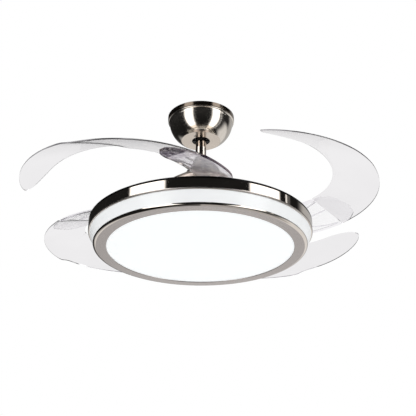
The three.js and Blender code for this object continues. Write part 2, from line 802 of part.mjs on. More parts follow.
// Places on a shut blade are given by the angle along its arc, clockwise from the pivot, and by the
// distance from the arc's centre, which then lies on the fan's axis.
const onArc = (arc, radius, z) => {
  const angle = -arc * toRadians;
  return [radius * Math.cos(angle) - pivotCircleRadius, radius * Math.sin(angle), z];
};

// Middle surface of the blade, short of its joggle: pitched, and climbing to the tip.
function bladeHeight(arc, radius) {
  const climb = (bladeClimbHeight * arc) / bladeTipArc;
  const pitch = (bladeOuterRadius - radius) * Math.tan(bladePitchAngle * toRadians);
  return trayTopZ + bladeEdgeHeight + climb + pitch;
}

// The step past the next arm starts where a row of the blade has this arc at its outer edge.
function bladeJoggle(rowArc) {
  return smoothStep(rowArc, bladeJoggleStartArc, bladeJoggleEndArc);
}

// Both edges draw in to the tip along quarter ellipses.
function bladeEdges(arc) {
  const closing = (length) => {
    const along = THREE.MathUtils.clamp(1 - (bladeTipArc - arc) / length, 0, 1);
    return 1 - Math.sqrt(1 - along ** 2);
  };
  const along = Math.max(0, (arc - bladeJoggleEndArc) / (bladeTipArc - bladeJoggleEndArc));
  const inner = bladeInnerRadius + bladeTaperDepth * along ** 1.5;
  const drawnIn = smoothStep(arc, bladeJoggleEndArc, bladeJoggleEndArc + bladeOuterTaperArc);
  const notch = bladeNotchDepth * bladeJoggle(arc) + bladeOuterTaperDepth * drawnIn;
  const outer = bladeOuterRadius - notch;
  const outerTip = bladeTipRadius + bladeTipWidth / 2;
  const innerTip = bladeTipRadius - bladeTipWidth / 2;
  return [
    outer - (outer - outerTip) * closing(bladeTipOuterArc),
    inner + (innerTip - inner) * closing(bladeTipInnerArc),
  ];
}

function makeBlade() {
  // Rows run across the blade and lean with the joggle; they close up towards the tip.
  const [rootRows, tipRows] = [7, 12];
  const rows = range(rootRows + 1).map((row) => {
    return bladeRootArc + ((bladeJoggleStartArc - bladeRootArc) * row) / rootRows;
  });
  rows.push((bladeJoggleStartArc + bladeJoggleEndArc) / 2, bladeJoggleEndArc);
  for (const row of range(tipRows)) {
    const along = Math.sin((((row + 1) / tipRows) * Math.PI) / 2);
    rows.push(bladeJoggleEndArc + (bladeTipArc - bladeJoggleEndArc) * along);
  }
  const columns = 4;
  const side = (offset) => (rowArc) => range(columns).map((column) => {
    const across = column / (columns - 1);
    const toJoggle = smoothStep(rowArc, bladeRootArc, bladeJoggleStartArc);
    const toTip = smoothStep(rowArc, bladeJoggleEndArc, bladeTipArc);
    const arc = rowArc - bladeJoggleLeanArc * toJoggle * (1 - toTip) * across ** 1.5;
    const [outer, inner] = bladeEdges(arc);
    const radius = outer + (inner - outer) * across;
    const fullness = Math.min(1, (outer - inner) / bladeFullWidth);
    const crown = bladeCamberHeight * Math.sin(Math.PI * across) * fullness;
    const height = bladeHeight(arc, radius) + bladeJoggleHeight * bladeJoggle(rowArc);
    return onArc(arc, radius, height + crown + offset);
  });
  return plate(rows.map(side(bladeThickness / 2)), rows.map(side(-bladeThickness / 2)));
}

// The arm is a moulded channel that follows the blade's surface and holds it from below.
function makeArm() {
  const stations = [armTailArc, -2, 3, 9, 16, 24, 31, bladeRootArc, 41, 47, armEndArc];
  const under = bladeThickness / 2 + seatGap;
  const edges = (arc) => {
    const open = Math.sqrt(THREE.MathUtils.clamp((arc - armTailArc + 1) / armTailTaperArc, armEndShare, 1));
    const close = Math.sqrt(THREE.MathUtils.clamp((armEndArc + 1 - arc) / armEndTaperArc, armEndShare, 1));
    const tailOuter = pivotCircleRadius + armEndHalfWidth;
    const tailInner = pivotCircleRadius - armEndHalfWidth;
    const outer = tailOuter + (bladeOuterRadius - armOuterInset - tailOuter) * open;
    const inner = tailInner - (tailInner - bladeInnerRadius - armInnerInset) * open;
    const middle = (outer + inner) / 2;
    return [middle + (outer - middle) * close, middle + (inner - middle) * close];
  };
  const insets = (outer, inner) => {
    const side = Math.min(armFlangeWidth, (outer - inner) / 6);
    return [outer, outer - side, (outer + inner) / 2, inner + side, inner];
  };
  const flangeLift = (arc, col) => {
    const raised = col === 0 || col === 4 ? 1 : 0;
    const start = smoothStep(arc, armTailArc, armFlangeStartArc);
    const ends = start * (1 - smoothStep(arc, bladeRootArc - 3, bladeRootArc - 1));
    return raised * armFlangeHeight * ends;
  };
  const crownOf = (radius) => {
    const across = (bladeOuterRadius - radius) / (bladeOuterRadius - bladeInnerRadius);
    return bladeCamberHeight * Math.sin(Math.PI * THREE.MathUtils.clamp(across, 0, 1));
  };
  const topRow = (arc) => insets(...edges(arc)).map((radius, col) => {
    const z = bladeHeight(arc, radius) + crownOf(radius) - under + flangeLift(arc, col);
    return onArc(arc, radius, z);
  });
  const bottomRow = (arc) => insets(...edges(arc)).map((radius, col) => {
    const thickness = col < 2 ? armEdgeThickness : armThickness;
    return onArc(arc, radius, bladeHeight(arc, radius) + crownOf(radius) - under - thickness);
  });
  const channel = plate(stations.map(topRow), stations.map(bottomRow));
  const hubZ = gearTopZ + seatGap;
  const springTop = hubZ + springTurns * springPitch + 2 * springWireRadius + springRoom;
  const well = springRadius + springWireRadius + springRoom;
  const hub = column(hubRadius, hubZ, hubTopZ, 0, 0, rodSteps);
  const bore = column(pivotRadius + runGap, hubZ - hubRadius, hubTopZ + hubRadius);
  const headRoom = column(pivotHeadRadius + pivotHeadRoom, hubTopZ, hubTopZ + hubRadius);
  const springWell = column(well, hubZ - past, springTop);
  return channel.add(hub).subtract(headRoom).subtract(springWell).subtract(bore);
}

// A sector of a toothed wheel, fixed under the arm's hub.
function makeSectorGear() {
  const pitch = 360 / sectorToothCount;
  const inward = 180;
  const meshMargin = sectorMarginTeeth * pitch;
  const [runStart, runEnd] = [-openSwingAngle - meshMargin, closedSwingAngle + meshMargin];
  const run = toothRun(sectorRadius, sectorToothCount, inward, runStart, runEnd, true);
  const hubSteps = 12;
  const backRadius = hubRadius - runGap;
  const [first, last] = [run[0], run[run.length - 1]];
  const firstAngle = Math.atan2(first[1], first[0]);
  let lastAngle = Math.atan2(last[1], last[0]);
  if (lastAngle < firstAngle) lastAngle += 2 * Math.PI;
  const back = 2 * Math.PI - (lastAngle - firstAngle);
  const outline = [...run];
  for (const step of range(hubSteps)) {
    const at = lastAngle + (back * (step + 0.5)) / hubSteps;
    outline.push([backRadius * Math.cos(at), backRadius * Math.sin(at)]);
  }
  const shape = new THREE.Shape(outline.map(([x, y]) => new THREE.Vector2(x, y)));
  const well = springRadius + springWireRadius + springRoom;
  return extrude(shape, gearZ, gearTopZ).subtract(column(well, gearZ - past, gearTopZ + past));
}

// One unbroken coil of wire round the pivot, in the well under the arm's hub.
function makeSpring() {
  const coilZ = gearTopZ + seatGap + springWireRadius;
  class Coil extends THREE.Curve {
    getPoint(t, target = new THREE.Vector3()) {
      const turn = 2 * Math.PI * springTurns * t;
      const z = coilZ + springPitch * springTurns * t;
      return target.set(springRadius * Math.cos(turn), springRadius * Math.sin(turn), z);
    }
  }
  const section = new THREE.Shape(range(5).map((side) => {
    const angle = (2 * Math.PI * side) / 5;
    return new THREE.Vector2(springWireRadius * Math.cos(angle), springWireRadius * Math.sin(angle));
  }));
  const wire = new THREE.ExtrudeGeometry(section, {
    steps: springTurns * 8,
    extrudePath: new Coil(),
  });
  const stepsPerTurn = 48;
  const points = new Coil().getPoints(springTurns * stepsPerTurn);
  let nearest = Infinity;
  points.forEach((point, index) => {
    for (const other of points.slice(index + stepsPerTurn / 2)) {
      nearest = Math.min(nearest, point.distanceTo(other));
    }
  });
  console.log('return spring: least gap to itself', (nearest - 2 * springWireRadius).toFixed(2), 'mm');
  return solid(wire);
}

function makeBlades() {
  const blade = makeBlade();
  const arm = makeArm();
  const sector = makeSectorGear();
  const spring = makeSpring();
  pivotAngles.forEach((angle, index) => {
    const number = index + 1;
    const pivot = new THREE.Group();
    pivot.position.set(
      pivotCircleRadius * Math.cos(angle * toRadians),
      pivotCircleRadius * Math.sin(angle * toRadians),
      0,
    );
    fan.add(pivot);
    const swing = new THREE.Group();
    swing.rotation.z = (angle + closedSwingAngle) * toRadians;
    pivot.add(swing);
    piece(`blade_${number}`, blade, clearPlastic, swing);
    piece(`blade_arm_${number}`, arm, clearPlastic, swing);
    const gear = piece(`sector_gear_${number}`, sector, nylon, pivot);
    gear.rotation.z = angle * toRadians;
    piece(`return_spring_${number}`, spring, zincSteel, pivot);
    const headZ = hubTopZ + seatGap;
    const foot = column(pivotFootRadius, trayTopZ + seatGap, gearZ + past);
    const stem = column(pivotRadius, trayZ, headZ + past);
    const head = column(pivotHeadRadius, headZ, headZ + pivotHeadHeight);
    piece(`pivot_bolt_${number}`, stem.add(foot).add(head), zincSteel, pivot);
  });
}

// ---------------------------------------------------------------- yoke, rod and cover

function makeHanger() {
  const shaftBore = shaftRadius + seatGap;
  const rodBore = rodRadius + seatGap;
  const pinZ = (rodZ + yokeTopZ) / 2;
  const pinHole = barAlongX(yokePinRadius + seatGap, -coverBottomRadius, coverBottomRadius, pinZ);
  const yoke = revolve(
    [
      [shaftBore, yokeZ],
      [yokeRadius, yokeZ],
      [yokeRadius, yokeTopZ],
      [rodBore, yokeTopZ],
      [rodBore, rodZ - seatGap],
      [shaftBore, rodZ - seatGap],
    ],
    rodSteps,
  );
  piece('motor_yoke', yoke.subtract(pinHole), darkSteel);
  const pinReach = yokeRadius + yokePinProud;
  piece('yoke_pin', barAlongX(yokePinRadius, -pinReach, pinReach, pinZ), zincSteel);

  const rodTop = ballZ + rodAboveBall;
  const ballPinZ = ballZ + ballPinHeight;
  const rod = ring(rodRadius - rodWall, rodRadius, rodZ, rodTop, rodSteps);
  const ballPinHole = barAlongX(ballPinRadius + seatGap, -ballRadius, ballRadius, ballPinZ);
  piece('downrod', rod.subtract(pinHole).subtract(ballPinHole), polishedNickel);

  // A trumpet-shaped cover over the yoke, just clear of the dome.
  const coverZ = domeTopZ + coverAboveDome;
  const coverTop = coverZ + coverHeight;
  const side = (wall, steps) => range(steps + 1).map((step) => {
    const t = step / steps;
    const inward = 1 - (1 - t) ** coverFlare;
    const radius = coverBottomRadius + (coverTopRadius - coverBottomRadius) * inward;
    return [radius - wall, coverZ + (coverHeight - wall) * t];
  });
  const coverInside = side(coverWall, 2).reverse().slice(1);
  const cover = revolve(
    [...side(0, 4), [rodBore, coverTop], [rodBore, coverTop - coverWall], ...coverInside],
    rodSteps,
  );
  piece('yoke_cover', cover, brushedNickel);

  const ballBottom = -Math.sqrt(ballRadius ** 2 - rodBore ** 2);
  const ballSteps = 6;
  const outer = range(ballSteps + 1).map((step) => {
    const from = Math.asin(ballBottom / ballRadius);
    const to = Math.asin(ballFlat / ballRadius);
    const angle = from + ((to - from) * step) / ballSteps;
    return [ballRadius * Math.cos(angle), ballZ + ballRadius * Math.sin(angle)];
  });
  const ball = revolve([...outer, [rodBore, ballZ + ballFlat]], rodSteps);
  const half = ballPinRadius + seatGap;
  const groove = block(-ballRadius, ballRadius, -half, half, ballPinZ, 0).add(ballPinHole);
  piece('hanger_ball', ball.subtract(groove), blackRubber);
  const crossPin = barAlongX(ballPinRadius, -ballPinLength / 2, ballPinLength / 2, ballPinZ);
  piece('ball_cross_pin', crossPin, zincSteel);
}

// ---------------------------------------------------------------- bracket, receiver and canopy

function makeCanopy() {
  const halfLength = bracketLength / 2;
  const halfWidth = bracketWidth / 2;
  const legInner = bracketLegSpan / 2;
  const legOuter = legInner + bracketPlate;
  const seatZ = -bracketSeatDepth;
  const earHalf = bracketEarWidth / 2;
  const canopyInside = (canopyRimRadius - canopyWall) * Math.cos(Math.PI / canopySteps);
  const earReach = Math.sqrt(canopyInside ** 2 - earHalf ** 2) - seatGap;
  let bracket = block(-halfLength, halfLength, -halfWidth, halfWidth, -bracketPlate, 0);
  bracket = bracket.add(block(-earReach, earReach, -earHalf, earHalf, -bracketPlate, 0));
  for (const side of [-1, 1]) {
    const [near, far] = [side * legInner, side * legOuter].sort((a, b) => a - b);
    const leg = block(near, far, -halfWidth, halfWidth, seatZ, -past);
    const [earNear, earFar] = [side * (earReach - bracketPlate), side * earReach].sort((a, b) => a - b);
    const ear = block(earNear, earFar, -earHalf, earHalf, -bracketEarDepth, -past);
    bracket = bracket.add(leg).add(ear);
    const slot = slotShape(bracketSlotLength, bracketSlotWidth, (side * bracketSlotSpacing) / 2);
    bracket = bracket.subtract(extrude(slot, -bracketPlate - past, past));
  }
  // The seat is a plate with a cup for the ball, open at the front so that the ball can be hooked in.
  const seatTop = seatZ + bracketPlate;
  const cupRadius = (z) => Math.sqrt((ballRadius + cupClearance) ** 2 - (z - ballZ) ** 2);
  const [cutZ, cutTop] = [seatZ - past, seatTop + past];
  const cup = revolve([[0, cutZ], [cupRadius(cutZ), cutZ], [cupRadius(seatTop), cutTop], [0, cutTop]], 20);
  const seat = block(-legOuter, legOuter, -halfWidth, halfWidth, seatZ, seatTop);
  const gateHalf = rodRadius + gateClearance;
  const gate = block(-gateHalf, gateHalf, -bracketWidth, 0, cutZ, cutTop);
  bracket = bracket.add(seat).subtract(cup).subtract(gate);
  const screwZ = -canopyRingHeight / 2;
  const screwHole = barAlongX(canopyScrewRadius + seatGap, -canopyRingRadius, canopyRingRadius, screwZ);
  piece('hanger_bracket', bracket.subtract(screwHole), zincSteel);

  const receiverX = legInner - receiverSideGap;
  const receiverY = receiverLength / 2;
  const receiverTop = -bracketPlate - seatGap;
  const receiverZ = receiverTop - receiverHeight;
  const receiver = block(-receiverX, receiverX, -receiverY, receiverY, receiverZ, receiverTop);
  piece('receiver_box', receiver, whitePlastic);

  // The bowl drops straight from the ceiling, then curves in to a flat bottom.
  const bowlDepth = canopyDepth - canopyRimDepth;
  const bowl = (wall, steps) => range(steps + 1).map((step) => {
    const t = step / steps;
    const inward = (1 - t ** canopyCurveFall) ** canopyCurveTurn;
    const radius = canopyFlatRadius - wall + (canopyRimRadius - canopyFlatRadius) * inward;
    return [radius, -canopyRimDepth - (bowlDepth - wall) * t];
  });
  const topZ = -seatGap;
  const canopy = revolve(
    [
      [canopyRimRadius, topZ],
      ...bowl(0, 6),
      [canopyHoleRadius, -canopyDepth],
      [canopyHoleRadius, -canopyDepth + canopyWall],
      ...bowl(canopyWall, 3).reverse(),
      [canopyRimRadius - canopyWall, topZ],
    ],
    canopySteps,
  );
  const flatTop = -canopyDepth + canopyWall;
  const cableHole = column(
    canopyCableHoleRadius,
    -canopyDepth - past,
    flatTop + past,
    canopyCableHoleX,
    canopyCableHoleY,
  );
  piece('canopy', canopy.subtract(screwHole).subtract(cableHole), polishedNickel);

  const ringInner = canopyRimRadius + seatGap;
  const coverRing = revolve(
    [
      [ringInner, -canopyRingHeight],
      [canopyRingRadius - canopyRingBevel, -canopyRingHeight],
      [canopyRingRadius, -canopyRingHeight + canopyRingBevel],
      [canopyRingRadius, topZ],
      [ringInner, topZ],
    ],
    canopySteps,
  );
  piece('canopy_ring', coverRing, polishedNickel);
  const screw = barAlongX(canopyScrewRadius, canopyRimRadius - canopyScrewLength, canopyRimRadius, screwZ);
  piece('canopy_screw_1', turned(screw, 180), zincSteel);
  piece('canopy_screw_2', screw, zincSteel);
}

makeLight();
makeMotor();
makeTray();
makeSyncRing();
makeBlades();
makeHanger();
makeCanopy();

export default fan;
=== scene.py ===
import json
import math

import bpy
from mathutils import Matrix, Vector

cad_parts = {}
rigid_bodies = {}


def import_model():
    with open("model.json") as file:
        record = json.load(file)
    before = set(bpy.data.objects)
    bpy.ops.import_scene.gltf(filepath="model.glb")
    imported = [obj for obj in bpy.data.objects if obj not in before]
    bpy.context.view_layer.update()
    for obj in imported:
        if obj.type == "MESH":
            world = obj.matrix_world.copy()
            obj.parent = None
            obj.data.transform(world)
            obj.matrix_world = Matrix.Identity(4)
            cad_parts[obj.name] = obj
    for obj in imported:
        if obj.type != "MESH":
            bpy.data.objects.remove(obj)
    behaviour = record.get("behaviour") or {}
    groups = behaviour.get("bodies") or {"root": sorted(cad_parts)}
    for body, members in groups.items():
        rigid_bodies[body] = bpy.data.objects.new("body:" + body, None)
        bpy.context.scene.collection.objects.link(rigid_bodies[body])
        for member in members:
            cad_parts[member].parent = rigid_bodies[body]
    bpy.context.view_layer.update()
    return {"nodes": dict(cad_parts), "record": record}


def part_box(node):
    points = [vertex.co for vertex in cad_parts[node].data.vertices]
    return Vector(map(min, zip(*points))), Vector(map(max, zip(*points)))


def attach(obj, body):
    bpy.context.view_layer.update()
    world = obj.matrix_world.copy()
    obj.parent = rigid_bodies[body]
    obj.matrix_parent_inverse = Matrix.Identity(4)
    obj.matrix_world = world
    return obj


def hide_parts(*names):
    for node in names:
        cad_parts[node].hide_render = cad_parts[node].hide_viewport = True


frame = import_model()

# A ceiling fan with a round light and four clear folding blades. The ceiling is at height zero.
# Places in the scene are in metres. Outlines and the sizes of single pieces are in millimetres.

NODES = frame["nodes"]
RECORD = frame["record"]
NODE_SLOT = {row["node"]: row["material_slot"] for row in RECORD["subparts"]}
NODE_BODY = {node: body for body, members in RECORD["behaviour"]["bodies"].items() for node in members}


def foot_of(node):
    """Height of a solid's underside, in millimetres."""
    return round(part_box(node)[0][2] * 1000, 1)


def top_of(node):
    """Height of a solid's top, in millimetres."""
    return round(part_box(node)[1][2] * 1000, 1)


def radius_of(node):
    """How far a round solid reaches from the fan's axis, in millimetres."""
    return round(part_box(node)[1][0] * 1000, 1)


# Levels that the pieces share, in millimetres
FACE = foot_of("bezel")
LENS = foot_of("side_lens")
BAND = foot_of("light_pan")
PAN_TOP = top_of("light_pan")
TRAY_TOP = top_of("blade_tray")
JOINT = top_of("motor_lower_shell")  # where the two motor shells meet
DOME_TOP = top_of("motor_upper_shell")
COVER_FOOT = DOME_TOP - 3.4
COVER_TOP = top_of("yoke_cover")
CEILING_GAP = -0.3

# Blades, in the pose drawn: metres and degrees
BLADES = (1, 2, 3, 4)
FOLD = next(joint for joint in RECORD["behaviour"]["joints"] if joint["name"] == "blade_fold_1")
PIVOT = Vector(FOLD["pos_m"][:2])
PIVOT_CIRCLE = round(PIVOT.length, 4)
FIRST_PIVOT = round(math.degrees(math.atan2(PIVOT.y, PIVOT.x)), 1)
BETWEEN_PIVOTS = 360 / len(BLADES)
OPENED = -FOLD["range_deg"][0]  # from shut to the pose drawn
BLADE_RIM = 0.222  # from the centre of the blade's arc, just inside its outer edge
HUB_END = 34  # along the blade's arc, where the arm's hub ends
LAP_START = 41  # and where the arm's end laps the blade

# Steps round a turned piece
FINE = 192
MEDIUM = 96
SMALL = 40

# Degrees between two faces
SHARP = 35  # from here on their edge stays an edge
FLAT = 40  # up to here two triangles are joined

# Camera, as solved from the photograph
CAMERA_PLACE = (0.0, -1.8, -1.0739)
CAMERA_PITCH = 0.4353
CAMERA_TURN = -0.0094
CAMERA_ROLL = 0.0022
CAMERA_LENS = 75.55
CAMERA_SENSOR = 36.0

FLOOR_HEIGHT = -2.4
FLOOR_SIZE = 30.0


# ---------------------------------------------------------------- modelling tools


def only(obj):
    """Leaves obj as the one selected and active object."""
    bpy.ops.object.select_all(action="DESELECT")
    obj.select_set(True)
    bpy.context.view_layer.objects.active = obj


def start_edit():
    bpy.ops.object.mode_set(mode="EDIT")


def end_edit():
    bpy.ops.object.mode_set(mode="OBJECT")


def apply_modifier(obj, kind, **values):
    only(obj)
    modifier = obj.modifiers.new(kind.lower(), kind)
    for key, value in values.items():
        setattr(modifier, key, value)
    bpy.ops.object.modifier_apply(modifier=modifier.name)


def soften_edges(obj, width):
    """Rounds the sharp edges."""
    limit = math.radians(SHARP)
    apply_modifier(obj, "BEVEL", width=width, segments=2, limit_method="ANGLE", angle_limit=limit)


def smooth(obj, angle=32):
    only(obj)
    bpy.ops.object.shade_smooth_by_angle(angle=math.radians(angle))


def settle(obj):
    """Puts the object's place, turn and size into its mesh."""
    only(obj)
    bpy.ops.object.transform_apply(location=True, rotation=True, scale=True)


def remove(obj):
    only(obj)
    bpy.ops.object.delete()


def fit(obj, name, like, material, *replaced, slot=None):
    """Names a piece, gives it its finish, and ties it to the body of the solid that it is like."""
    obj.name = name
    obj.data.name = name
    obj.data.materials.clear()
    obj.data.materials.append(material)
    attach(obj, NODE_BODY[like])
    if replaced:
        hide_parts(*replaced)
    return obj


def paint(obj, finishes, pick):
    """Adds finishes to a piece. Pick gives the number of a face's finish; zero is the piece's own."""
    for finish in finishes:
        obj.data.materials.append(finish)
    for face in obj.data.polygons:
        face.material_index = pick(face)


def turned(outline, steps):
    """Draws a vertex out along a closed outline of (radius, height) points and spins it round Z."""
    bpy.ops.object.select_all(action="DESELECT")
    bpy.ops.mesh.primitive_plane_add(size=0.001, location=(0, 0, 0))
    obj = bpy.context.object
    start_edit()
    bpy.ops.mesh.select_mode(type="VERT")
    bpy.ops.mesh.select_all(action="SELECT")
    bpy.ops.mesh.merge(type="CENTER")
    radius, height = outline[0]
    bpy.ops.transform.translate(value=(radius, 0, height))
    for (radius, height), (next_radius, next_height) in zip(outline, outline[1:]):
        step = (next_radius - radius, 0, next_height - height)
        bpy.ops.mesh.extrude_vertices_move(TRANSFORM_OT_translate={"value": step})
    end_edit()
    for vertex in obj.data.vertices:
        vertex.select = vertex.index in (0, len(outline) - 1)
    start_edit()
    bpy.ops.mesh.edge_face_add()
    bpy.ops.mesh.select_all(action="SELECT")
    bpy.ops.mesh.spin(steps=steps, angle=math.tau, center=(0, 0, 0), axis=(0, 0, 1))
    bpy.ops.mesh.select_all(action="SELECT")
    bpy.ops.mesh.remove_doubles(threshold=1e-6)
    bpy.ops.mesh.normals_make_consistent(inside=False)
    end_edit()
    return obj


def refined(node, edge=0.0003):
    """A copy of a solid with its loose triangles joined, its rounds smoothed and its edges softened."""
    only(NODES[node])
    bpy.ops.object.duplicate()
    obj = bpy.context.object
    bpy.ops.object.parent_clear(type="CLEAR")
    for key in [key for key in obj.keys() if key.startswith("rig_")]:
        del obj[key]
    only(obj)
    start_edit()
    bpy.ops.mesh.select_all(action="SELECT")
    bpy.ops.mesh.remove_doubles(threshold=2e-6)
    limit = math.radians(FLAT)
    bpy.ops.mesh.tris_convert_to_quads(face_threshold=limit, shape_threshold=limit)
    bpy.ops.mesh.select_all(action="DESELECT")
    bpy.ops.mesh.select_mode(type="EDGE")
    bpy.ops.mesh.edges_select_sharp(sharpness=math.radians(SHARP))
    bpy.ops.transform.edge_crease(value=1)
    end_edit()
    bpy.ops.object.shade_smooth()
    apply_modifier(obj, "SUBSURF", levels=2, render_levels=2)
    soften_edges(obj, edge)
    return obj


def swept(path, width, height):
    """A bar along a path: an upright face is pushed out from point to point and turned to follow."""
    path = [Vector(point) for point in path]
    headings = []
    for index, _ in enumerate(path):
        before = path[max(index - 1, 0)]
        after = path[min(index + 1, len(path) - 1)]
        headings.append(math.atan2(after.y - before.y, after.x - before.x))
    bpy.ops.object.select_all(action="DESELECT")
    bpy.ops.mesh.primitive_plane_add(size=1, location=(0, 0, 0))
    obj = bpy.context.object
    start_edit()
    bpy.ops.mesh.select_mode(type="FACE")
    bpy.ops.mesh.select_all(action="SELECT")
    bpy.ops.transform.resize(value=(height, width, 1), center_override=(0, 0, 0))
    bpy.ops.transform.rotate(value=math.pi / 2, orient_axis="Y", center_override=(0, 0, 0))
    bpy.ops.transform.rotate(value=-headings[0], orient_axis="Z", center_override=(0, 0, 0))
    bpy.ops.transform.translate(value=path[0])
    for start, end, old, new in zip(path, path[1:], headings, headings[1:]):
        bpy.ops.mesh.extrude_region_move(TRANSFORM_OT_translate={"value": end - start})
        bpy.ops.transform.rotate(value=old - new, orient_axis="Z", center_override=end)
    bpy.ops.mesh.select_all(action="SELECT")
    bpy.ops.mesh.normals_make_consistent(inside=False)
    end_edit()
    return obj


def repeated(obj, places):
    """Moves a copy of obj, with its own mesh, to each place, and joins the copies into one piece."""
    copies = []
    for place in places:
        only(obj)
        bpy.ops.object.duplicate()
        copy = bpy.context.object
        copy.matrix_world = place
        settle(copy)
        copies.append(copy)
    remove(obj)
    for copy in copies:
        copy.select_set(True)
    bpy.context.view_layer.objects.active = copies[0]
    bpy.ops.object.join()
    return copies[0]


def spoke(index, count, radius, height):
    """A place on one of count spokes round the axis, the first of them half a share on from X."""
    turn = Matrix.Rotation(math.tau * (index + 0.5) / count, 4, "Z")
    return turn @ Matrix.Translation((radius / 1000, 0, height / 1000))


# ---------------------------------------------------------------- finishes


class Wiring:
    """Adds nodes to a node tree and joins them."""

    def __init__(self, tree):
        self.tree = tree

    def node(self, kind, **values):
        """A new node. A value goes to the socket of its name, or else to the node's own setting."""
        made = self.tree.nodes.new(kind)
        for key, value in values.items():
            if key in made.inputs:
                made.inputs[key].default_value = value
            else:
                setattr(made, key, value)
        return made

    def link(self, output, socket):
        self.tree.links.new(output, socket)

    def math(self, operation, first, second=0.0):
        made = self.node("ShaderNodeMath", operation=operation)
        for socket, value in zip(made.inputs, (first, second)):
            if isinstance(value, (int, float)):
                socket.default_value = value
            else:
                self.link(value, socket)
        return made.outputs[0]

    def ranged(self, value, start, end, low, high, **settings):
        """The value's way from start to end, as a number from low to high."""
        made = self.node("ShaderNodeMapRange", **settings)
        for key, number in (("From Min", start), ("From Max", end), ("To Min", low), ("To Max", high)):
            made.inputs[key].default_value = number
        self.link(value, made.inputs["Value"])
        return made.outputs["Result"]


class Finish(Wiring):
    """A material that is built up step by step on one Principled shader."""

    def __init__(self, name, color, roughness, metallic=0.0):
        self.material = bpy.data.materials.new(name)
        self.material.use_nodes = True
        super().__init__(self.material.node_tree)
        self.shader = self.tree.nodes["Principled BSDF"]
        self.set("Base Color", (*color, 1))
        self.set("Roughness", roughness)
        self.set("Metallic", metallic)
        self.coordinates = self.node("ShaderNodeTexCoord").outputs["Object"]

    def set(self, socket, value):
        self.shader.inputs[socket].default_value = value

    def stretched(self, scale):
        mapping = self.node("ShaderNodeMapping", Scale=scale)
        self.link(self.coordinates, mapping.inputs["Vector"])
        return mapping.outputs["Vector"]

    def polar(self, across, along):
        """Coordinates that run round the Z axis: radius and height change fast and the angle slowly."""
        parts = self.node("ShaderNodeSeparateXYZ")
        self.link(self.coordinates, parts.inputs[0])
        flat = self.node("ShaderNodeCombineXYZ")
        self.link(parts.outputs["X"], flat.inputs["X"])
        self.link(parts.outputs["Y"], flat.inputs["Y"])
        length = self.node("ShaderNodeVectorMath", operation="LENGTH")
        self.link(flat.outputs[0], length.inputs[0])
        radius = self.math("MULTIPLY", length.outputs["Value"], across)
        height = self.math("MULTIPLY", parts.outputs["Z"], across)
        unit = self.node("ShaderNodeVectorMath", operation="NORMALIZE")
        self.link(flat.outputs[0], unit.inputs[0])
        spread = self.node("ShaderNodeVectorMath", operation="SCALE")
        self.link(unit.outputs[0], spread.inputs[0])
        spread.inputs["Scale"].default_value = along
        turn = self.node("ShaderNodeSeparateXYZ")
        self.link(spread.outputs[0], turn.inputs[0])
        joined = self.node("ShaderNodeCombineXYZ")
        self.link(self.math("ADD", radius, height), joined.inputs["X"])
        self.link(turn.outputs["X"], joined.inputs["Y"])
        self.link(turn.outputs["Y"], joined.inputs["Z"])
        return joined.outputs[0]

    def noise(self, scale, detail=4.0, roughness=0.55, vector=None):
        made = self.node("ShaderNodeTexNoise", Scale=scale, Detail=detail, Roughness=roughness)
        self.link(self.coordinates if vector is None else vector, made.inputs["Vector"])
        return made.outputs["Fac"]

    def tint(self, value, dark, light, start=0.3, end=0.7):
        """Base colour between two colours, as the value goes from start to end."""
        ramp = self.node("ShaderNodeValToRGB")
        for element, place, color in zip(ramp.color_ramp.elements, (start, end), (dark, light)):
            element.position = place
            element.color = (*color, 1)
        self.link(value, ramp.inputs["Fac"])
        self.link(ramp.outputs["Color"], self.shader.inputs["Base Color"])

    def rough(self, value, limits):
        self.link(self.ranged(value, 0.3, 0.7, *limits), self.shader.inputs["Roughness"])

    def bump(self, value, height):
        made = self.node("ShaderNodeBump", Strength=1.0, Distance=height)
        self.link(value, made.inputs["Height"])
        self.link(made.outputs["Normal"], self.shader.inputs["Normal"])


def shade(color, factor):
    return tuple(min(1.0, part * factor) for part in color)


def polished_nickel():
    """Satin-bright plate: very fine turning lines and a faint cloudiness."""
    color = (0.68, 0.62, 0.56)
    finish = Finish("polished_nickel", color, 0.08, 1.0)
    lines = finish.noise(1.0, 3.0, vector=finish.polar(2600, 6))
    finish.tint(finish.noise(24.0), shade(color, 0.95), shade(color, 1.05))
    finish.rough(lines, (0.03, 0.06))
    finish.bump(lines, 0.000001)
    return finish.material


def brushed_nickel(name, color, rough, across=1500, height=0.00002):
    """Turned on a lathe and brushed: close lines round the axis, each a little lighter or darker."""
    finish = Finish(name, color, rough[1], 1.0)
    lines = finish.noise(1.0, 6.0, 0.7, vector=finish.polar(across, 9))
    finish.tint(lines, shade(color, 0.86), shade(color, 1.14))
    finish.rough(lines, rough)
    finish.bump(lines, height)
    finish.set("Anisotropic", 0.5)
    return finish.material


def pressed_steel(name, color, rough):
    """Zinc plate with its pale crystal patches and small scratches."""
    finish = Finish(name, color, rough[1], 1.0)
    patches = finish.node("ShaderNodeTexVoronoi", Scale=130.0)
    finish.link(finish.coordinates, patches.inputs["Vector"])
    grain = finish.noise(420.0, 5.0)
    mixed = finish.math("ADD", finish.math("MULTIPLY", patches.outputs["Distance"], 0.35), grain)
    finish.tint(mixed, shade(color, 0.82), shade(color, 1.08), 0.35, 0.95)
    finish.rough(grain, rough)
    finish.bump(grain, 0.00002)
    return finish.material


def cast_aluminium():
    """Sand-cast metal, finely pitted and cloudy."""
    color = (0.58, 0.59, 0.60)
    finish = Finish("cast_aluminium", color, 0.45, 1.0)
    pits = finish.noise(900.0, 6.0, 0.65)
    finish.tint(finish.noise(60.0, 3.0), shade(color, 0.88), shade(color, 1.06))
    finish.rough(pits, (0.36, 0.58))
    finish.bump(pits, 0.00006)
    return finish.material


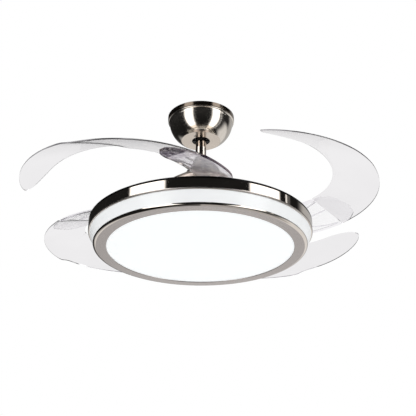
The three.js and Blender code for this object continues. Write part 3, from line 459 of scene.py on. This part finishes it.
def moulded(name, color, rough, grain=1400.0, height=0.00001, spread=0.03):
    """Moulded plastic or rubber with a fine grain and a slightly uneven colour."""
    finish = Finish(name, color, rough[1])
    fine = finish.noise(grain)
    finish.tint(finish.noise(14.0, 3.0), shade(color, 1 - spread), shade(color, 1 + spread))
    finish.rough(fine, rough)
    finish.bump(fine, height)
    return finish.material


def opal(name, color, painted_glow, rough):
    """Light-spreading plastic with a faint emission: painted light that brightens it."""
    finish = Finish(name, color, rough[1])
    fine = finish.noise(1600.0, 3.0)
    finish.tint(finish.noise(3.2, 2.0), shade(color, 0.985), shade(color, 1.01))
    finish.rough(fine, rough)
    finish.bump(fine, 0.000008)
    # Emission as painted light that brightens the plastic
    finish.set("Emission Color", (0.93, 0.97, 1.0, 1))
    finish.set("Emission Strength", painted_glow)
    finish.set("Subsurface Weight", 0.15)
    finish.set("Subsurface Radius", (0.004, 0.004, 0.004))
    return finish.material


def clear(name, dark, light, scale, rough, wave, stretch=(1, 1, 1), bend=1.49, slant=None, passing=1.0):
    """Clear moulded plastic with soft flow lines. A thin-walled moulding bends light less.

    With a slant given, the tint deepens where the wall is seen aslant. Passing is the share of light
    that is let through.
    """
    finish = Finish(name, light, rough[1])
    flow = finish.noise(scale, 3.0, 0.5, vector=finish.stretched(stretch))
    if slant is None:
        finish.tint(flow, dark, light, 0.38, 0.62)
    else:
        aslant = finish.node("ShaderNodeLayerWeight", Blend=0.5).outputs["Facing"]
        mixed = finish.math("ADD", aslant, finish.math("SUBTRACT", flow, 0.5))
        finish.tint(mixed, light, dark, *slant)
    finish.rough(flow, rough)
    finish.bump(flow, wave)
    finish.set("Transmission Weight", passing)
    finish.set("IOR", bend)
    return finish.material


def arm_plastic(name, dark, light, scale=60.0, slant=None, passing=1.0):
    """The tinted plastic of the arms."""
    return clear(name, dark, light, scale, (0.02, 0.06), 0.00002, (1, 1, 2), 1.1, slant, passing)


def wound_copper():
    """Enamelled wire laid in close turns."""
    color = (0.62, 0.27, 0.10)
    finish = Finish("copper", color, 0.3, 0.9)
    wires = finish.node("ShaderNodeTexWave", Scale=260.0, Distortion=1.2, bands_direction="Z")
    finish.link(finish.coordinates, wires.inputs["Vector"])
    # Darker between the turns: painted shade in the grooves
    finish.tint(wires.outputs["Fac"], shade(color, 0.55), shade(color, 1.15), 0.1, 0.8)
    finish.bump(wires.outputs["Fac"], 0.0001)
    return finish.material


# Metals
NICKEL = polished_nickel()
BRUSHED = brushed_nickel("brushed_nickel", (0.44, 0.40, 0.38), (0.22, 0.38))
DOME = brushed_nickel("brushed_dome", (0.56, 0.48, 0.43), (0.26, 0.42), 1100)
DARK_NICKEL = brushed_nickel("dark_nickel", (0.155, 0.125, 0.10), (0.08, 0.16), height=0.000004)
ROD = brushed_nickel("rod_nickel", (0.56, 0.50, 0.45), (0.07, 0.13), height=0.000002)
BOWL = brushed_nickel("bowl_nickel", (0.66, 0.61, 0.55), (0.10, 0.17), height=0.000001)
PLATE = brushed_nickel("canopy_plate", (0.60, 0.53, 0.46), (0.14, 0.24), height=0.000006)
ZINC = pressed_steel("zinc_steel", (0.62, 0.64, 0.66), (0.28, 0.42))
DARK_STEEL = pressed_steel("dark_steel", (0.16, 0.15, 0.145), (0.30, 0.46))
# Near-black painted over the band's upper edge: a painted dark reflection
PAINTED_DARK_REFLECTION = pressed_steel("painted_dark_reflection", (0.012, 0.011, 0.011), (0.35, 0.5))
CAST = cast_aluminium()
COPPER = wound_copper()
MAGNET = moulded("magnet", (0.055, 0.055, 0.06), (0.5, 0.7), 500.0, 0.00005, 0.12)

# The light's white plastics and its lamp chips, each with a faint emission of painted light
OPAL_LENS = opal("opal_lens", (0.93, 0.945, 0.955), 0.10, (0.18, 0.28))
OPAL_FACE = opal("opal_face", (0.93, 0.955, 0.965), 0.22, (0.32, 0.45))
LAMP = opal("lamp_chip", (0.95, 0.85, 0.45), 0.05, (0.3, 0.4))

# Clear plastics of the blades and their arms
CLEAR_BLADE = clear(
    "clear_blade", (0.835, 0.825, 0.835), (0.86, 0.85, 0.86), 5.0, (0.0, 0.02), 0.000004, (1, 1, 4), 1.08
)
# Dark tint for the blade's outer rim: painted shade
CLEAR_EDGE_PAINTED_SHADE = clear("clear_edge_painted_shade", (0.10, 0.09, 0.11), (0.34, 0.32, 0.35), 30.0, (0.01, 0.05), 0.00003)
CLEAR_ARM = arm_plastic("clear_arm", (0.82, 0.80, 0.83), (0.965, 0.96, 0.97), 60.0, (0.6, 1.0), 0.95)
# Darker copy of the arm plastic for the upright walls: painted shade
CLEAR_WALL_PAINTED_SHADE = arm_plastic("clear_wall_painted_shade", (0.60, 0.57, 0.63), (0.86, 0.84, 0.87), 60.0, (0.45, 0.9))
CLEAR_RIB = arm_plastic("clear_rib", (0.80, 0.78, 0.82), (0.90, 0.89, 0.91))
# The first arm's darker copies of the same plastic: painted shade, darkest where it laps the blade
FIRST_ARM_PAINTED_SHADE = arm_plastic("first_arm_painted_shade", (0.44, 0.37, 0.47), (0.97, 0.95, 0.98), 75.0, (0.62, 1.05), 0.62)
FIRST_HUB_PAINTED_SHADE = arm_plastic("first_hub_painted_shade", (0.66, 0.60, 0.69), (0.98, 0.965, 0.985), 75.0, (0.62, 1.05), 0.66)
FIRST_LAP_PAINTED_SHADE = arm_plastic("first_lap_painted_shade", (0.06, 0.045, 0.07), (0.72, 0.68, 0.74), 75.0, (0.35, 0.8), 0.75)
FIRST_WALL_PAINTED_SHADE = arm_plastic("first_wall_painted_shade", (0.26, 0.22, 0.29), (0.80, 0.77, 0.82), 60.0, (0.45, 0.9))
FIRST_RIB_PAINTED_SHADE = arm_plastic("first_rib_painted_shade", (0.04, 0.03, 0.05), (0.20, 0.165, 0.225))

# Other plastics
# Near-black for the canopy's inside: painted shade
INSIDE_PAINTED_SHADE = moulded("inside_painted_shade", (0.018, 0.017, 0.016), (0.6, 0.8), 500.0, 0.00003, 0.15)
WHITE = moulded("white_plastic", (0.86, 0.86, 0.85), (0.38, 0.52))
BOARD = moulded("circuit_board", (0.88, 0.89, 0.87), (0.30, 0.45), 800.0)
NYLON = moulded("nylon", (0.78, 0.75, 0.68), (0.42, 0.58), 600.0, 0.00003)
RUBBER = moulded("black_rubber", (0.022, 0.022, 0.023), (0.7, 0.88), 1900.0, 0.00004, 0.15)

SLOT_FINISH = {
    "polished_nickel": NICKEL,
    "brushed_nickel": BRUSHED,
    "zinc_steel": ZINC,
    "dark_steel": DARK_STEEL,
    "cast_aluminium": CAST,
    "opal_plastic": OPAL_FACE,
    "white_plastic": WHITE,
    "circuit_board": BOARD,
    "nylon": NYLON,
    "black_rubber": RUBBER,
    "magnet": MAGNET,
    "copper": COPPER,
}


# ---------------------------------------------------------------- turned pieces, in millimetres

TURNED = set()  # the solids that a turned piece has replaced


def arc(centre, across, up, start, end, steps):
    """Points on an ellipse, its angles counted in degrees from outwards to upwards."""
    turns = [math.radians(start + (end - start) * step / steps) for step in range(steps + 1)]
    return [(centre[0] + across * math.cos(turn), centre[1] + up * math.sin(turn)) for turn in turns]


def corner(centre, radius, start, end, steps=4):
    return arc(centre, radius, radius, start, end, steps)


def held(outline):
    """Adds a point near each end of every long side, which keeps the side flat where it meets a round."""
    margin = 0.5
    shortest = 4.5
    points = []
    for start, end in zip(outline, outline[1:] + outline[:1]):
        points.append(start)
        start = Vector(start)
        end = Vector(end)
        length = (end - start).length
        if length > shortest:
            points.append(tuple(start.lerp(end, margin / length)))
            points.append(tuple(end.lerp(start, margin / length)))
    return points


def lathe(node, material, outline, steps=FINE):
    """Replaces a round solid by a finely turned piece."""
    piece = turned([(radius / 1000, height / 1000) for radius, height in held(outline)], steps)
    smooth(piece, 30)
    TURNED.add(node)
    return fit(piece, f"turned_{node}", node, material, node)


def pierce(obj, radius, start, end):
    """Cuts a round hole through obj, from one point to another."""
    start = Vector(start) / 1000
    end = Vector(end) / 1000
    along = end - start
    bpy.ops.object.select_all(action="DESELECT")
    bpy.ops.mesh.primitive_cylinder_add(
        vertices=SMALL,
        radius=radius / 1000,
        depth=along.length,
        location=(start + end) / 2,
        rotation=along.to_track_quat("Z", "Y").to_euler(),
    )
    cutter = bpy.context.object
    apply_modifier(obj, "BOOLEAN", object=cutter, operation="DIFFERENCE", solver="EXACT")
    remove(cutter)


def from_axis(face):
    """How far a face's middle is from the fan's axis, in millimetres."""
    return math.hypot(face.center.x, face.center.y) * 1000


def make_light_pan():
    """A plate with the polished band that hangs from its rim, painted near-black along its upper edge as a
    dark reflection.
    """
    rim = radius_of("light_pan")
    hole = 15
    wall = 1.2
    lip = 3.4  # the band's lower edge turns in by this much
    # Above this height the band's rounded top is painted near-black, a painted dark reflection
    painted_reflection_line = PAN_TOP - 5.4
    turn_in = BAND + 2.4
    outline = [(hole, PAN_TOP - wall), (hole, PAN_TOP)]
    outline += corner((rim - 1.6, PAN_TOP - 1.6), 1.6, 90, 0)
    outline += [(rim, painted_reflection_line), (rim, turn_in)]
    outline += corner((rim - 2.2, BAND + 2), 2, -10, -90, 5)
    outline += [(rim - lip, BAND), (rim - lip, BAND + wall), (rim - wall, BAND + 2.8)]
    outline += [(rim - wall, PAN_TOP - 1.8), (rim - 1.8, PAN_TOP - wall)]
    pan = lathe("light_pan", NICKEL, outline)

    def band_finish(face):
        height = face.center.z * 1000
        on_band = from_axis(face) > rim - 1.7
        # The band's top: painted dark reflection
        if on_band and height > painted_reflection_line:
            return 1
        if on_band and height < turn_in and face.normal.z < -0.05:
            return 2
        return 0

    paint(pan, [PAINTED_DARK_REFLECTION, BRUSHED], band_finish)


def make_side_lens():
    """A flared wall between bezel and band, with a lip that turns in under the pan."""
    top = top_of("side_lens")
    low = 238.5  # radius at the foot
    high = 246.7  # and at the top
    lip = 238.0
    wall = 2.6
    outline = [(low - wall, LENS), (low - 0.6, LENS), (low, LENS + 0.7), (242.9, LENS + 13)]
    outline += [(high, top - 0.9), (high - 0.2, top), (lip, top), (lip, top - wall)]
    outline += [(high - 3.1, top - wall)]
    lathe("side_lens", OPAL_LENS, outline)


BEZEL_HOLE = 208.4
ON_AXIS = 0.01  # inner radius of a turned disc, too small to see


def make_bezel():
    """A flat brushed ring whose outer edge rolls up, polished from where the roll starts."""
    roll_width = 8.7
    roll_height = 5.4
    wall = 1.2
    roll_start = radius_of("bezel") - roll_width
    centre = (roll_start, FACE + roll_height)
    outline = [(BEZEL_HOLE, FACE + 0.9), (BEZEL_HOLE + 0.3, FACE + 0.3), (BEZEL_HOLE + 1, FACE)]
    outline += arc(centre, roll_width, roll_height, -90, 0, 14)
    outline += arc(centre, roll_width - wall, roll_height - wall, 0, -90, 8)
    outline += [(BEZEL_HOLE, FACE + wall)]
    bezel = lathe("bezel", BRUSHED, outline)

    def on_roll(face):
        return int(face.normal.z > -0.985 and from_axis(face) > roll_start + 0.1)

    paint(bezel, [NICKEL], on_roll)


def make_diffuser():
    """A disc that arches slightly upwards, its rim on the bezel."""
    rim = radius_of("diffuser")
    under = foot_of("diffuser")
    outline = [(ON_AXIS, FACE + 3), (60, FACE + 2.9), (104.2, FACE + 2.5), (160, FACE + 2.1)]
    outline += [(BEZEL_HOLE, under), (rim - 0.3, under), (rim, under + 0.3), (rim, under + 2.2)]
    outline += [(rim - 0.3, under + 2.5), (104.2, FACE + 4.9), (ON_AXIS, top_of("diffuser"))]
    lathe("diffuser", OPAL_FACE, outline)


BOWL_START = -12.0
BOWL_TOP = 74.8  # radius where the bowl starts
BOWL_FLAT = 46.0  # and of the flat that it ends on
BOWL_TURN = 60  # degrees of the ellipse in between


def bowl(wall, steps):
    """The canopy's side, part of an ellipse from below the rim down to the flat."""
    turn = math.radians(BOWL_TURN)
    across = (BOWL_TOP - BOWL_FLAT) / (1 - math.cos(turn))
    drop = (BOWL_START - foot_of("canopy") - wall) / math.sin(turn)
    return arc((BOWL_TOP - wall - across, BOWL_START), across, drop, 0, -BOWL_TURN, steps)


def make_canopy():
    """A polished bowl with a bead under its rim, a brushed flat and an inside painted near-black as painted
    shade.
    """
    rim = radius_of("canopy")
    flat = foot_of("canopy")
    wall = 1.2
    bead = 76.6
    hole = 20.5
    outline = [(rim, CEILING_GAP), (rim, -11.4), (bead, -11.4)]
    outline += corner((bead, -12.7), 1.3, 90, -70, 8)
    outline += [(bead - 0.4, -14.2), (bead - 1.2, -14.8)]
    outline += [(radius, height) for radius, height in bowl(0, 44) if height < -15.6]
    outline += [(hole + 0.6, flat), (hole + 0.1, flat + 0.2), (hole, flat + 0.6), (hole, flat + wall)]
    outline += reversed(bowl(wall, 16))
    outline += [(rim - wall, CEILING_GAP)]
    canopy = lathe("canopy", BOWL, outline)
    pierce(canopy, 2.6, (-14, -24.5, -70), (-14, -24.5, -50))  # the small hole beside the rod
    pierce(canopy, 2.3, (-90, 0, -4), (90, 0, -4))  # for the two screws at the rim
    smooth(canopy, 30)

    def canopy_finish(face):
        outward = (face.normal.x * face.center.x + face.normal.y * face.center.y) * 1000 / from_axis(face)
        if face.normal.z < -0.98 and from_axis(face) < BOWL_FLAT + 0.3:
            return 1
        # Inward and upward faces: painted shade
        if outward < -0.1 or face.normal.z > 0.6:
            return 2
        return 0

    paint(canopy, [PLATE, INSIDE_PAINTED_SHADE], canopy_finish)


def make_canopy_ring():
    """A dark cover ring round the canopy's rim, rounded below."""
    rim = radius_of("canopy_ring")
    bore = 76.2
    outline = [(bore, CEILING_GAP), (bore, -10.8), (bore + 0.3, -11.1)]
    outline += corner((rim - 1.5, -9.6), 1.5, -90, 0, 6)
    outline += [(rim, -0.7), (rim - 0.4, CEILING_GAP)]
    lathe("canopy_ring", DARK_NICKEL, outline)


def make_downrod():
    """A plain tube with its ends chamfered."""
    outside = radius_of("downrod")
    inside = 10.7
    low = foot_of("downrod")
    high = top_of("downrod")
    outline = [(inside, low), (outside - 0.3, low), (outside, low + 0.3)]
    outline += [(outside, high - 0.3), (outside - 0.3, high), (inside, high)]
    lathe("downrod", ROD, outline, MEDIUM)


COVER_FLARE = 33  # radius at the foot
COVER_NECK = 14.5  # and at the top


def trumpet(wall, steps):
    """The cover's side, steep at its top and flaring out towards its foot."""
    points = []
    for step in range(steps + 1):
        share = step / steps
        inward = 1 - (1 - share) ** 1.35
        height = COVER_FOOT + (COVER_TOP - COVER_FOOT - wall) * share
        points.append((COVER_FLARE - (COVER_FLARE - COVER_NECK) * inward - wall, height))
    return points


def make_yoke_cover():
    """A trumpet that slides on the rod, over the coupling."""
    wall = 1.2
    bore = 12.8
    outline = trumpet(0, 20)[:-1]
    outline += [(COVER_NECK, COVER_TOP - 0.3), (COVER_NECK - 0.3, COVER_TOP)]
    outline += [(bore, COVER_TOP), (bore, COVER_TOP - wall)]
    outline += list(reversed(trumpet(wall, 10)))[1:]
    lathe("yoke_cover", BRUSHED, outline, MEDIUM)


# Sizes that the two motor shells share
MOTOR_SIDE = 84.0
MOTOR_BORE = 82.0
MOTOR_FLANGE = radius_of("motor_lower_shell")
SHAFT_HOLE = 10.5
BEARING_BORE = 17.8
BEARING_BOSS = 21.8


def make_motor_lower_shell():
    """A shallow cup with a flange and a boss that holds the lower bearing."""
    foot = foot_of("motor_lower_shell")
    floor = foot + 3
    boss = foot + 13.6
    outline = [(SHAFT_HOLE, foot), (75.6, foot)]
    outline += corner((MOTOR_SIDE - 8.1, foot + 8.1), 8.1, -90, 0, 6)
    outline += [(MOTOR_SIDE, JOINT - 4.3), (MOTOR_SIDE + 0.3, JOINT - 4), (MOTOR_FLANGE - 0.4, JOINT - 4)]
    outline += [(MOTOR_FLANGE, JOINT - 3.6), (MOTOR_FLANGE, JOINT - 0.3), (MOTOR_FLANGE - 0.3, JOINT)]
    outline += [(MOTOR_BORE, JOINT), (MOTOR_BORE, JOINT - 25), (MOTOR_BORE - 6, floor)]
    outline += [(BEARING_BOSS, floor), (BEARING_BOSS, boss), (BEARING_BORE, boss)]
    outline += [(BEARING_BORE, foot + 2), (SHAFT_HOLE, foot + 2)]
    lathe("motor_lower_shell", DOME, outline, MEDIUM)


def dome(wall):
    """From the motor's side over a round shoulder and up a cone that eases out under the cover.

    The slope's points follow the outline that the photograph shows.
    """
    shoulder = corner((MOTOR_SIDE - 11, -193.5), 11 - wall, 0, 52, 8)
    slope = [(75.2, -181.6), (66.7, -175.6), (60, -171), (50, -164), (40, -156.9), (34, -152.3)]
    slope += [(29, -148.6), (25, -146.2)]
    return shoulder + [(radius - wall * 0.6, height - wall * 0.8) for radius, height in slope]


def make_motor_upper_shell():
    """The motor's upper half with a flange and a boss that holds the upper bearing."""
    flange = JOINT + 0.3
    seat = DOME_TOP - 2
    outline = [(MOTOR_FLANGE, flange + 0.3), (MOTOR_FLANGE, flange + 3.6), (MOTOR_FLANGE - 0.4, flange + 4)]
    outline += [(MOTOR_SIDE + 0.4, flange + 4), (MOTOR_SIDE, flange + 4.4)]
    outline += dome(0)
    outline += [(22, DOME_TOP - 0.9), (19, DOME_TOP), (SHAFT_HOLE, DOME_TOP), (SHAFT_HOLE, seat)]
    outline += [(BEARING_BORE, seat), (BEARING_BORE, seat - 11.6), (BEARING_BOSS, seat - 11.6)]
    outline += [(BEARING_BOSS, seat - 3.6)]
    outline += reversed(dome(2))
    outline += [(MOTOR_BORE, flange), (MOTOR_FLANGE - 0.3, flange)]
    lathe("motor_upper_shell", DOME, outline, MEDIUM)


make_light_pan()
make_side_lens()
make_bezel()
make_diffuser()
make_canopy()
make_canopy_ring()
make_downrod()
make_yoke_cover()
make_motor_lower_shell()
make_motor_upper_shell()


# ---------------------------------------------------------------- pieces that keep their solid's shape


def pivot_turn(number):
    return FIRST_PIVOT + BETWEEN_PIVOTS * (number - 1)


def arc_centre(number):
    """Centre of a blade's arc in the pose drawn. It lies on the fan's axis when the blade is shut."""
    pivot = Vector((PIVOT_CIRCLE, 0))
    pivot.rotate(Matrix.Rotation(math.radians(pivot_turn(number)), 2))
    inward = -pivot
    inward.rotate(Matrix.Rotation(math.radians(OPENED), 2))
    return pivot + inward


def along_arc(number, offset):
    """Degrees from a blade's pivot, counted along the blade's arc, to a place off the arc's centre."""
    turn = pivot_turn(number) + OPENED - math.degrees(math.atan2(offset.y, offset.x))
    return (turn + 180) % 360 - 180


def arm_finishes(number):
    """Finishes of an arm's floor, walls, lapped end, hub and hub's rim. The walls are painted shade, and the
    first arm gets darker copies of the plastic, painted shade.
    """
    if number == 1:
        return FIRST_ARM_PAINTED_SHADE, FIRST_WALL_PAINTED_SHADE, FIRST_LAP_PAINTED_SHADE, FIRST_HUB_PAINTED_SHADE, FIRST_RIB_PAINTED_SHADE
    return CLEAR_ARM, CLEAR_WALL_PAINTED_SHADE, CLEAR_ARM, CLEAR_ARM, CLEAR_WALL_PAINTED_SHADE


def smooth_blade(node):
    """A clear blade with painted shade darkening its outer edge. The plated pieces don't mirror it."""
    blade = fit(refined(node, 0.0004), f"clear_{node}", node, CLEAR_BLADE, node)
    blade.visible_glossy = False
    centre = arc_centre(int(node[-1]))

    # Rim faces get the painted shade
    def on_rim(face):
        reach = (Vector(face.center[:2]) - centre).length
        return int(abs(face.normal.z) < 0.6 and reach > BLADE_RIM)

    paint(blade, [CLEAR_EDGE_PAINTED_SHADE], on_rim)


def smooth_arm(node):
    """A tinted arm, its finish changing from the hub to the lapped end; the darker parts are painted shade.
    """
    number = int(node[-1])
    floor, *others = arm_finishes(number)
    arm = fit(refined(node), f"made_{node}", node, floor, node)
    arm.visible_glossy = False
    centre = arc_centre(number)

    def arm_part(face):
        offset = Vector(face.center[:2]) - centre
        place = along_arc(number, offset)
        upright = abs(face.normal.z) < 0.55
        if place > LAP_START:
            return 2
        if place < HUB_END and upright and Vector(face.normal[:2]).dot(offset) > 0:
            return 4
        if upright:
            return 1
        return 3 if place < HUB_END else 0

    paint(arm, others, arm_part)


BLADE_NODES = {f"blade_{number}" for number in BLADES}
ARM_NODES = {f"blade_arm_{number}" for number in BLADES}
for node in sorted(set(NODES) - TURNED):
    if node in ARM_NODES:
        smooth_arm(node)
    elif node in BLADE_NODES:
        smooth_blade(node)
    else:
        fit(refined(node), f"made_{node}", node, SLOT_FINISH[NODE_SLOT[node]], node)


# ---------------------------------------------------------------- small pieces that the solids leave out

# The blade's surface, in millimetres and degrees
BLADE_OUTER = 239.5
BLADE_WIDTH = 95
BLADE_CROWN = 1.5
BLADE_PITCH = 18.5
BLADE_ARC = 168.5
BLADE_CLIMB = 15.57  # from the pivot to the tip
BLADE_START = TRAY_TOP + 3  # height of the outer edge at the pivot
ARM_FLOOR = -1.45  # the arm's floor under the blade's surface
RIB_MIDDLE = 0.8  # and a rib's middle over that floor

# Ribs and lamps, in metres
RIB_WIDTH = 0.0024
RIB_HEIGHT = 0.0022
LAMP_SIZE = (0.0035, 0.0028, 0.0008)

# Ribs fan out from the hub along the channel, short of the blade's root: arc and radius of their points.
ARM_RIBS = {
    "outer": ((8, 205), (13, 215), (19, 223), (26, 229), (33, 233)),
    "middle": ((8, 195), (14, 192), (22, 189), (33, 187)),
    "inner": ((8, 185), (14, 172), (22, 162), (33, 155)),
}


def on_arm(number, place, radius, above):
    """A point over the floor of an arm's channel, by the angle and radius of the blade's arc."""
    across = BLADE_OUTER - radius
    height = BLADE_START + BLADE_CLIMB * place / BLADE_ARC + across * math.tan(math.radians(BLADE_PITCH))
    height += BLADE_CROWN * math.sin(math.pi * across / BLADE_WIDTH) + ARM_FLOOR + above
    point = Vector((radius / 1000, 0))
    point.rotate(Matrix.Rotation(math.radians(pivot_turn(number) - place + OPENED), 2))
    point += arc_centre(number)
    return (point.x, point.y, height / 1000)


def add_arm_ribs(number):
    arm = f"blade_arm_{number}"
    for label, points in ARM_RIBS.items():
        path = [on_arm(number, place, radius, RIB_MIDDLE) for place, radius in points]
        rib = swept(path, RIB_WIDTH, RIB_HEIGHT)
        soften_edges(rib, 0.0003)
        smooth(rib)
        rib.visible_glossy = False
        # The first arm's ribs get the darker painted shade
        fit(rib, f"arm_rib_{label}_{number}", arm, FIRST_RIB_PAINTED_SHADE if number == 1 else CLEAR_RIB)


def pan_head(radius, height, shank, length):
    """A small screw. The underside of its head is at height zero."""
    outline = [(ON_AXIS, height), (radius * 0.62, height * 0.92), (radius * 0.92, height * 0.55)]
    outline += [(radius, 0), (shank, 0), (shank, -length + 0.5), (shank - 0.4, -length)]
    outline += [(ON_AXIS, -length)]
    screw = turned([(reach / 1000, level / 1000) for reach, level in outline], 24)
    smooth(screw)
    return screw


def add_joint_screws():
    """Screws through the flanges that join the two motor shells."""
    count = 6
    screw = pan_head(radius=1.9, height=1.5, shank=1.0, length=7.5)
    screws = repeated(screw, [spoke(index, count, 86.6, JOINT + 4.32) for index in range(count)])
    fit(screws, "motor_joint_screws", "motor_upper_shell", ZINC, slot=NODE_SLOT["lower_bearing"])


def add_lamp_chips():
    """Rows of small lamps under the board."""
    rows = 6
    in_row = 6
    first = 78
    spacing = 17.5
    bpy.ops.object.select_all(action="DESELECT")
    bpy.ops.mesh.primitive_cube_add(size=1, location=(0, 0, 0))
    lamp = bpy.context.object
    lamp.scale = LAMP_SIZE
    settle(lamp)
    soften_edges(lamp, 0.0002)
    smooth(lamp)
    height = foot_of("led_board") - 0.45
    places = []
    for row in range(rows):
        places += [spoke(row, rows, first + spacing * step, height) for step in range(in_row)]
    fit(repeated(lamp, places), "lamp_chips", "led_board", LAMP)


for number in BLADES:
    add_arm_ribs(number)
add_joint_screws()
add_lamp_chips()


# ---------------------------------------------------------------- studio


def add_floor():
    """A pale floor, which the plated pieces don't mirror."""
    bpy.ops.object.select_all(action="DESELECT")
    bpy.ops.mesh.primitive_plane_add(size=FLOOR_SIZE, location=(0, 0, FLOOR_HEIGHT))
    floor = bpy.context.object
    floor.name = "floor"
    finish = Finish("pale_floor", (0.86, 0.86, 0.85), 0.6)
    finish.tint(finish.noise(3.0), (0.85, 0.85, 0.84), (0.88, 0.88, 0.87))
    floor.data.materials.append(finish.material)
    floor.visible_glossy = False


# What polished metal mirrors, by azimuth to the right of the view and by height, in degrees
BAND_HEIGHT = 25.2  # that the light's band mirrors
TALL_BOXES = ((-75, -36, 2.2, 2.4), (50.5, 86, 2.2, 2.4))  # start, end, softness and strength
THIN_STRIPS = ((95, 97.5, 0.6, 1.1), (98, 102, 1.5, 0.14))
FAR_WALLS = ((114, 130, 0.52), (-150, -172, 0.13))  # from dark to light, and strength
BEHIND = ((84, 112), (-128, -158))  # where the pale ground starts on the right and on the left
DARK_ROOM = 0.014


def studio_world():
    """White to the eye and through clear plastic. Polished metal mirrors two tall boxes in a dark studio."""
    world = bpy.data.worlds.new("studio")
    bpy.context.scene.world = world
    world.use_nodes = True
    world.node_tree.nodes.clear()
    wiring = Wiring(world.node_tree)

    def step(value, start, end, low=0.0, high=1.0):
        return wiring.ranged(value, start, end, low, high, interpolation_type="SMOOTHSTEP")

    def times(first, second):
        return wiring.math("MULTIPLY", first, second)

    parts = wiring.node("ShaderNodeSeparateXYZ")
    wiring.link(wiring.node("ShaderNodeTexCoord").outputs["Generated"], parts.inputs[0])
    x, y, z = parts.outputs
    azimuth = times(wiring.math("ARCTAN2", x, times(y, -1.0)), 180 / math.pi)
    height = times(wiring.math("ARCSINE", z), 180 / math.pi)
    # The boxes stand closer together above and below the height that the light's band mirrors.
    off_band = wiring.math("ABSOLUTE", wiring.math("SUBTRACT", height, BAND_HEIGHT))
    angle = times(azimuth, step(off_band, 2.6, 5.4, 1.0, 1.25))
    above_floor = step(height, -72, -56)

    def box(start, end, soft, strength):
        rise = times(step(angle, start - soft, start + soft), above_floor)
        fall = step(angle, end - soft, end + soft, 1.0, 0.0)
        return times(times(rise, fall), strength)

    total = DARK_ROOM
    for settings in TALL_BOXES + THIN_STRIPS:
        total = wiring.math("ADD", box(*settings), total)
    for start, end, strength in FAR_WALLS:
        total = wiring.math("ADD", times(step(azimuth, start, end), strength), total)
    right_behind, left_behind = (step(azimuth, *limits) for limits in BEHIND)
    behind = times(wiring.math("MAXIMUM", right_behind, left_behind), 0.95)
    # The pale ground behind the fan reaches higher on the right.
    lowered = wiring.math("SUBTRACT", height, step(x, -0.3, 0.05, 0.0, 14.0))
    ground = times(times(behind, step(lowered, -8, -24)), step(height, -50, -35))
    sky = times(step(height, 50, 74), 0.6)
    total = wiring.math("MAXIMUM", wiring.math("MAXIMUM", total, ground), sky)

    studio = wiring.node("ShaderNodeBackground", Color=(1, 1, 1, 1))
    wiring.link(total, studio.inputs["Strength"])
    white = wiring.node("ShaderNodeBackground", Color=(1, 1, 1, 1), Strength=1.0)
    # A ray that has only passed through clear plastic still meets the white.
    depth = wiring.node("ShaderNodeLightPath").outputs["Glossy Depth"]
    choice = wiring.node("ShaderNodeMixShader")
    wiring.link(wiring.math("GREATER_THAN", depth, 0.5), choice.inputs["Fac"])
    wiring.link(white.outputs[0], choice.inputs[1])
    wiring.link(studio.outputs[0], choice.inputs[2])
    wiring.link(choice.outputs[0], wiring.node("ShaderNodeOutputWorld").inputs["Surface"])


def add_camera():
    """The photograph's viewing angle, from below and in front."""
    data = bpy.data.cameras.new("camera")
    data.lens = CAMERA_LENS
    data.sensor_width = CAMERA_SENSOR
    camera = bpy.data.objects.new("camera", data)
    bpy.context.scene.collection.objects.link(camera)
    turn = Matrix.Rotation(CAMERA_TURN, 4, "Z") @ Matrix.Rotation(math.pi / 2 + CAMERA_PITCH, 4, "X")
    camera.matrix_world = Matrix.Translation(CAMERA_PLACE) @ turn @ Matrix.Rotation(CAMERA_ROLL, 4, "Z")
    bpy.context.scene.camera = camera


add_floor()
studio_world()
add_camera()
bpy.context.scene.view_settings.view_transform = "Standard"
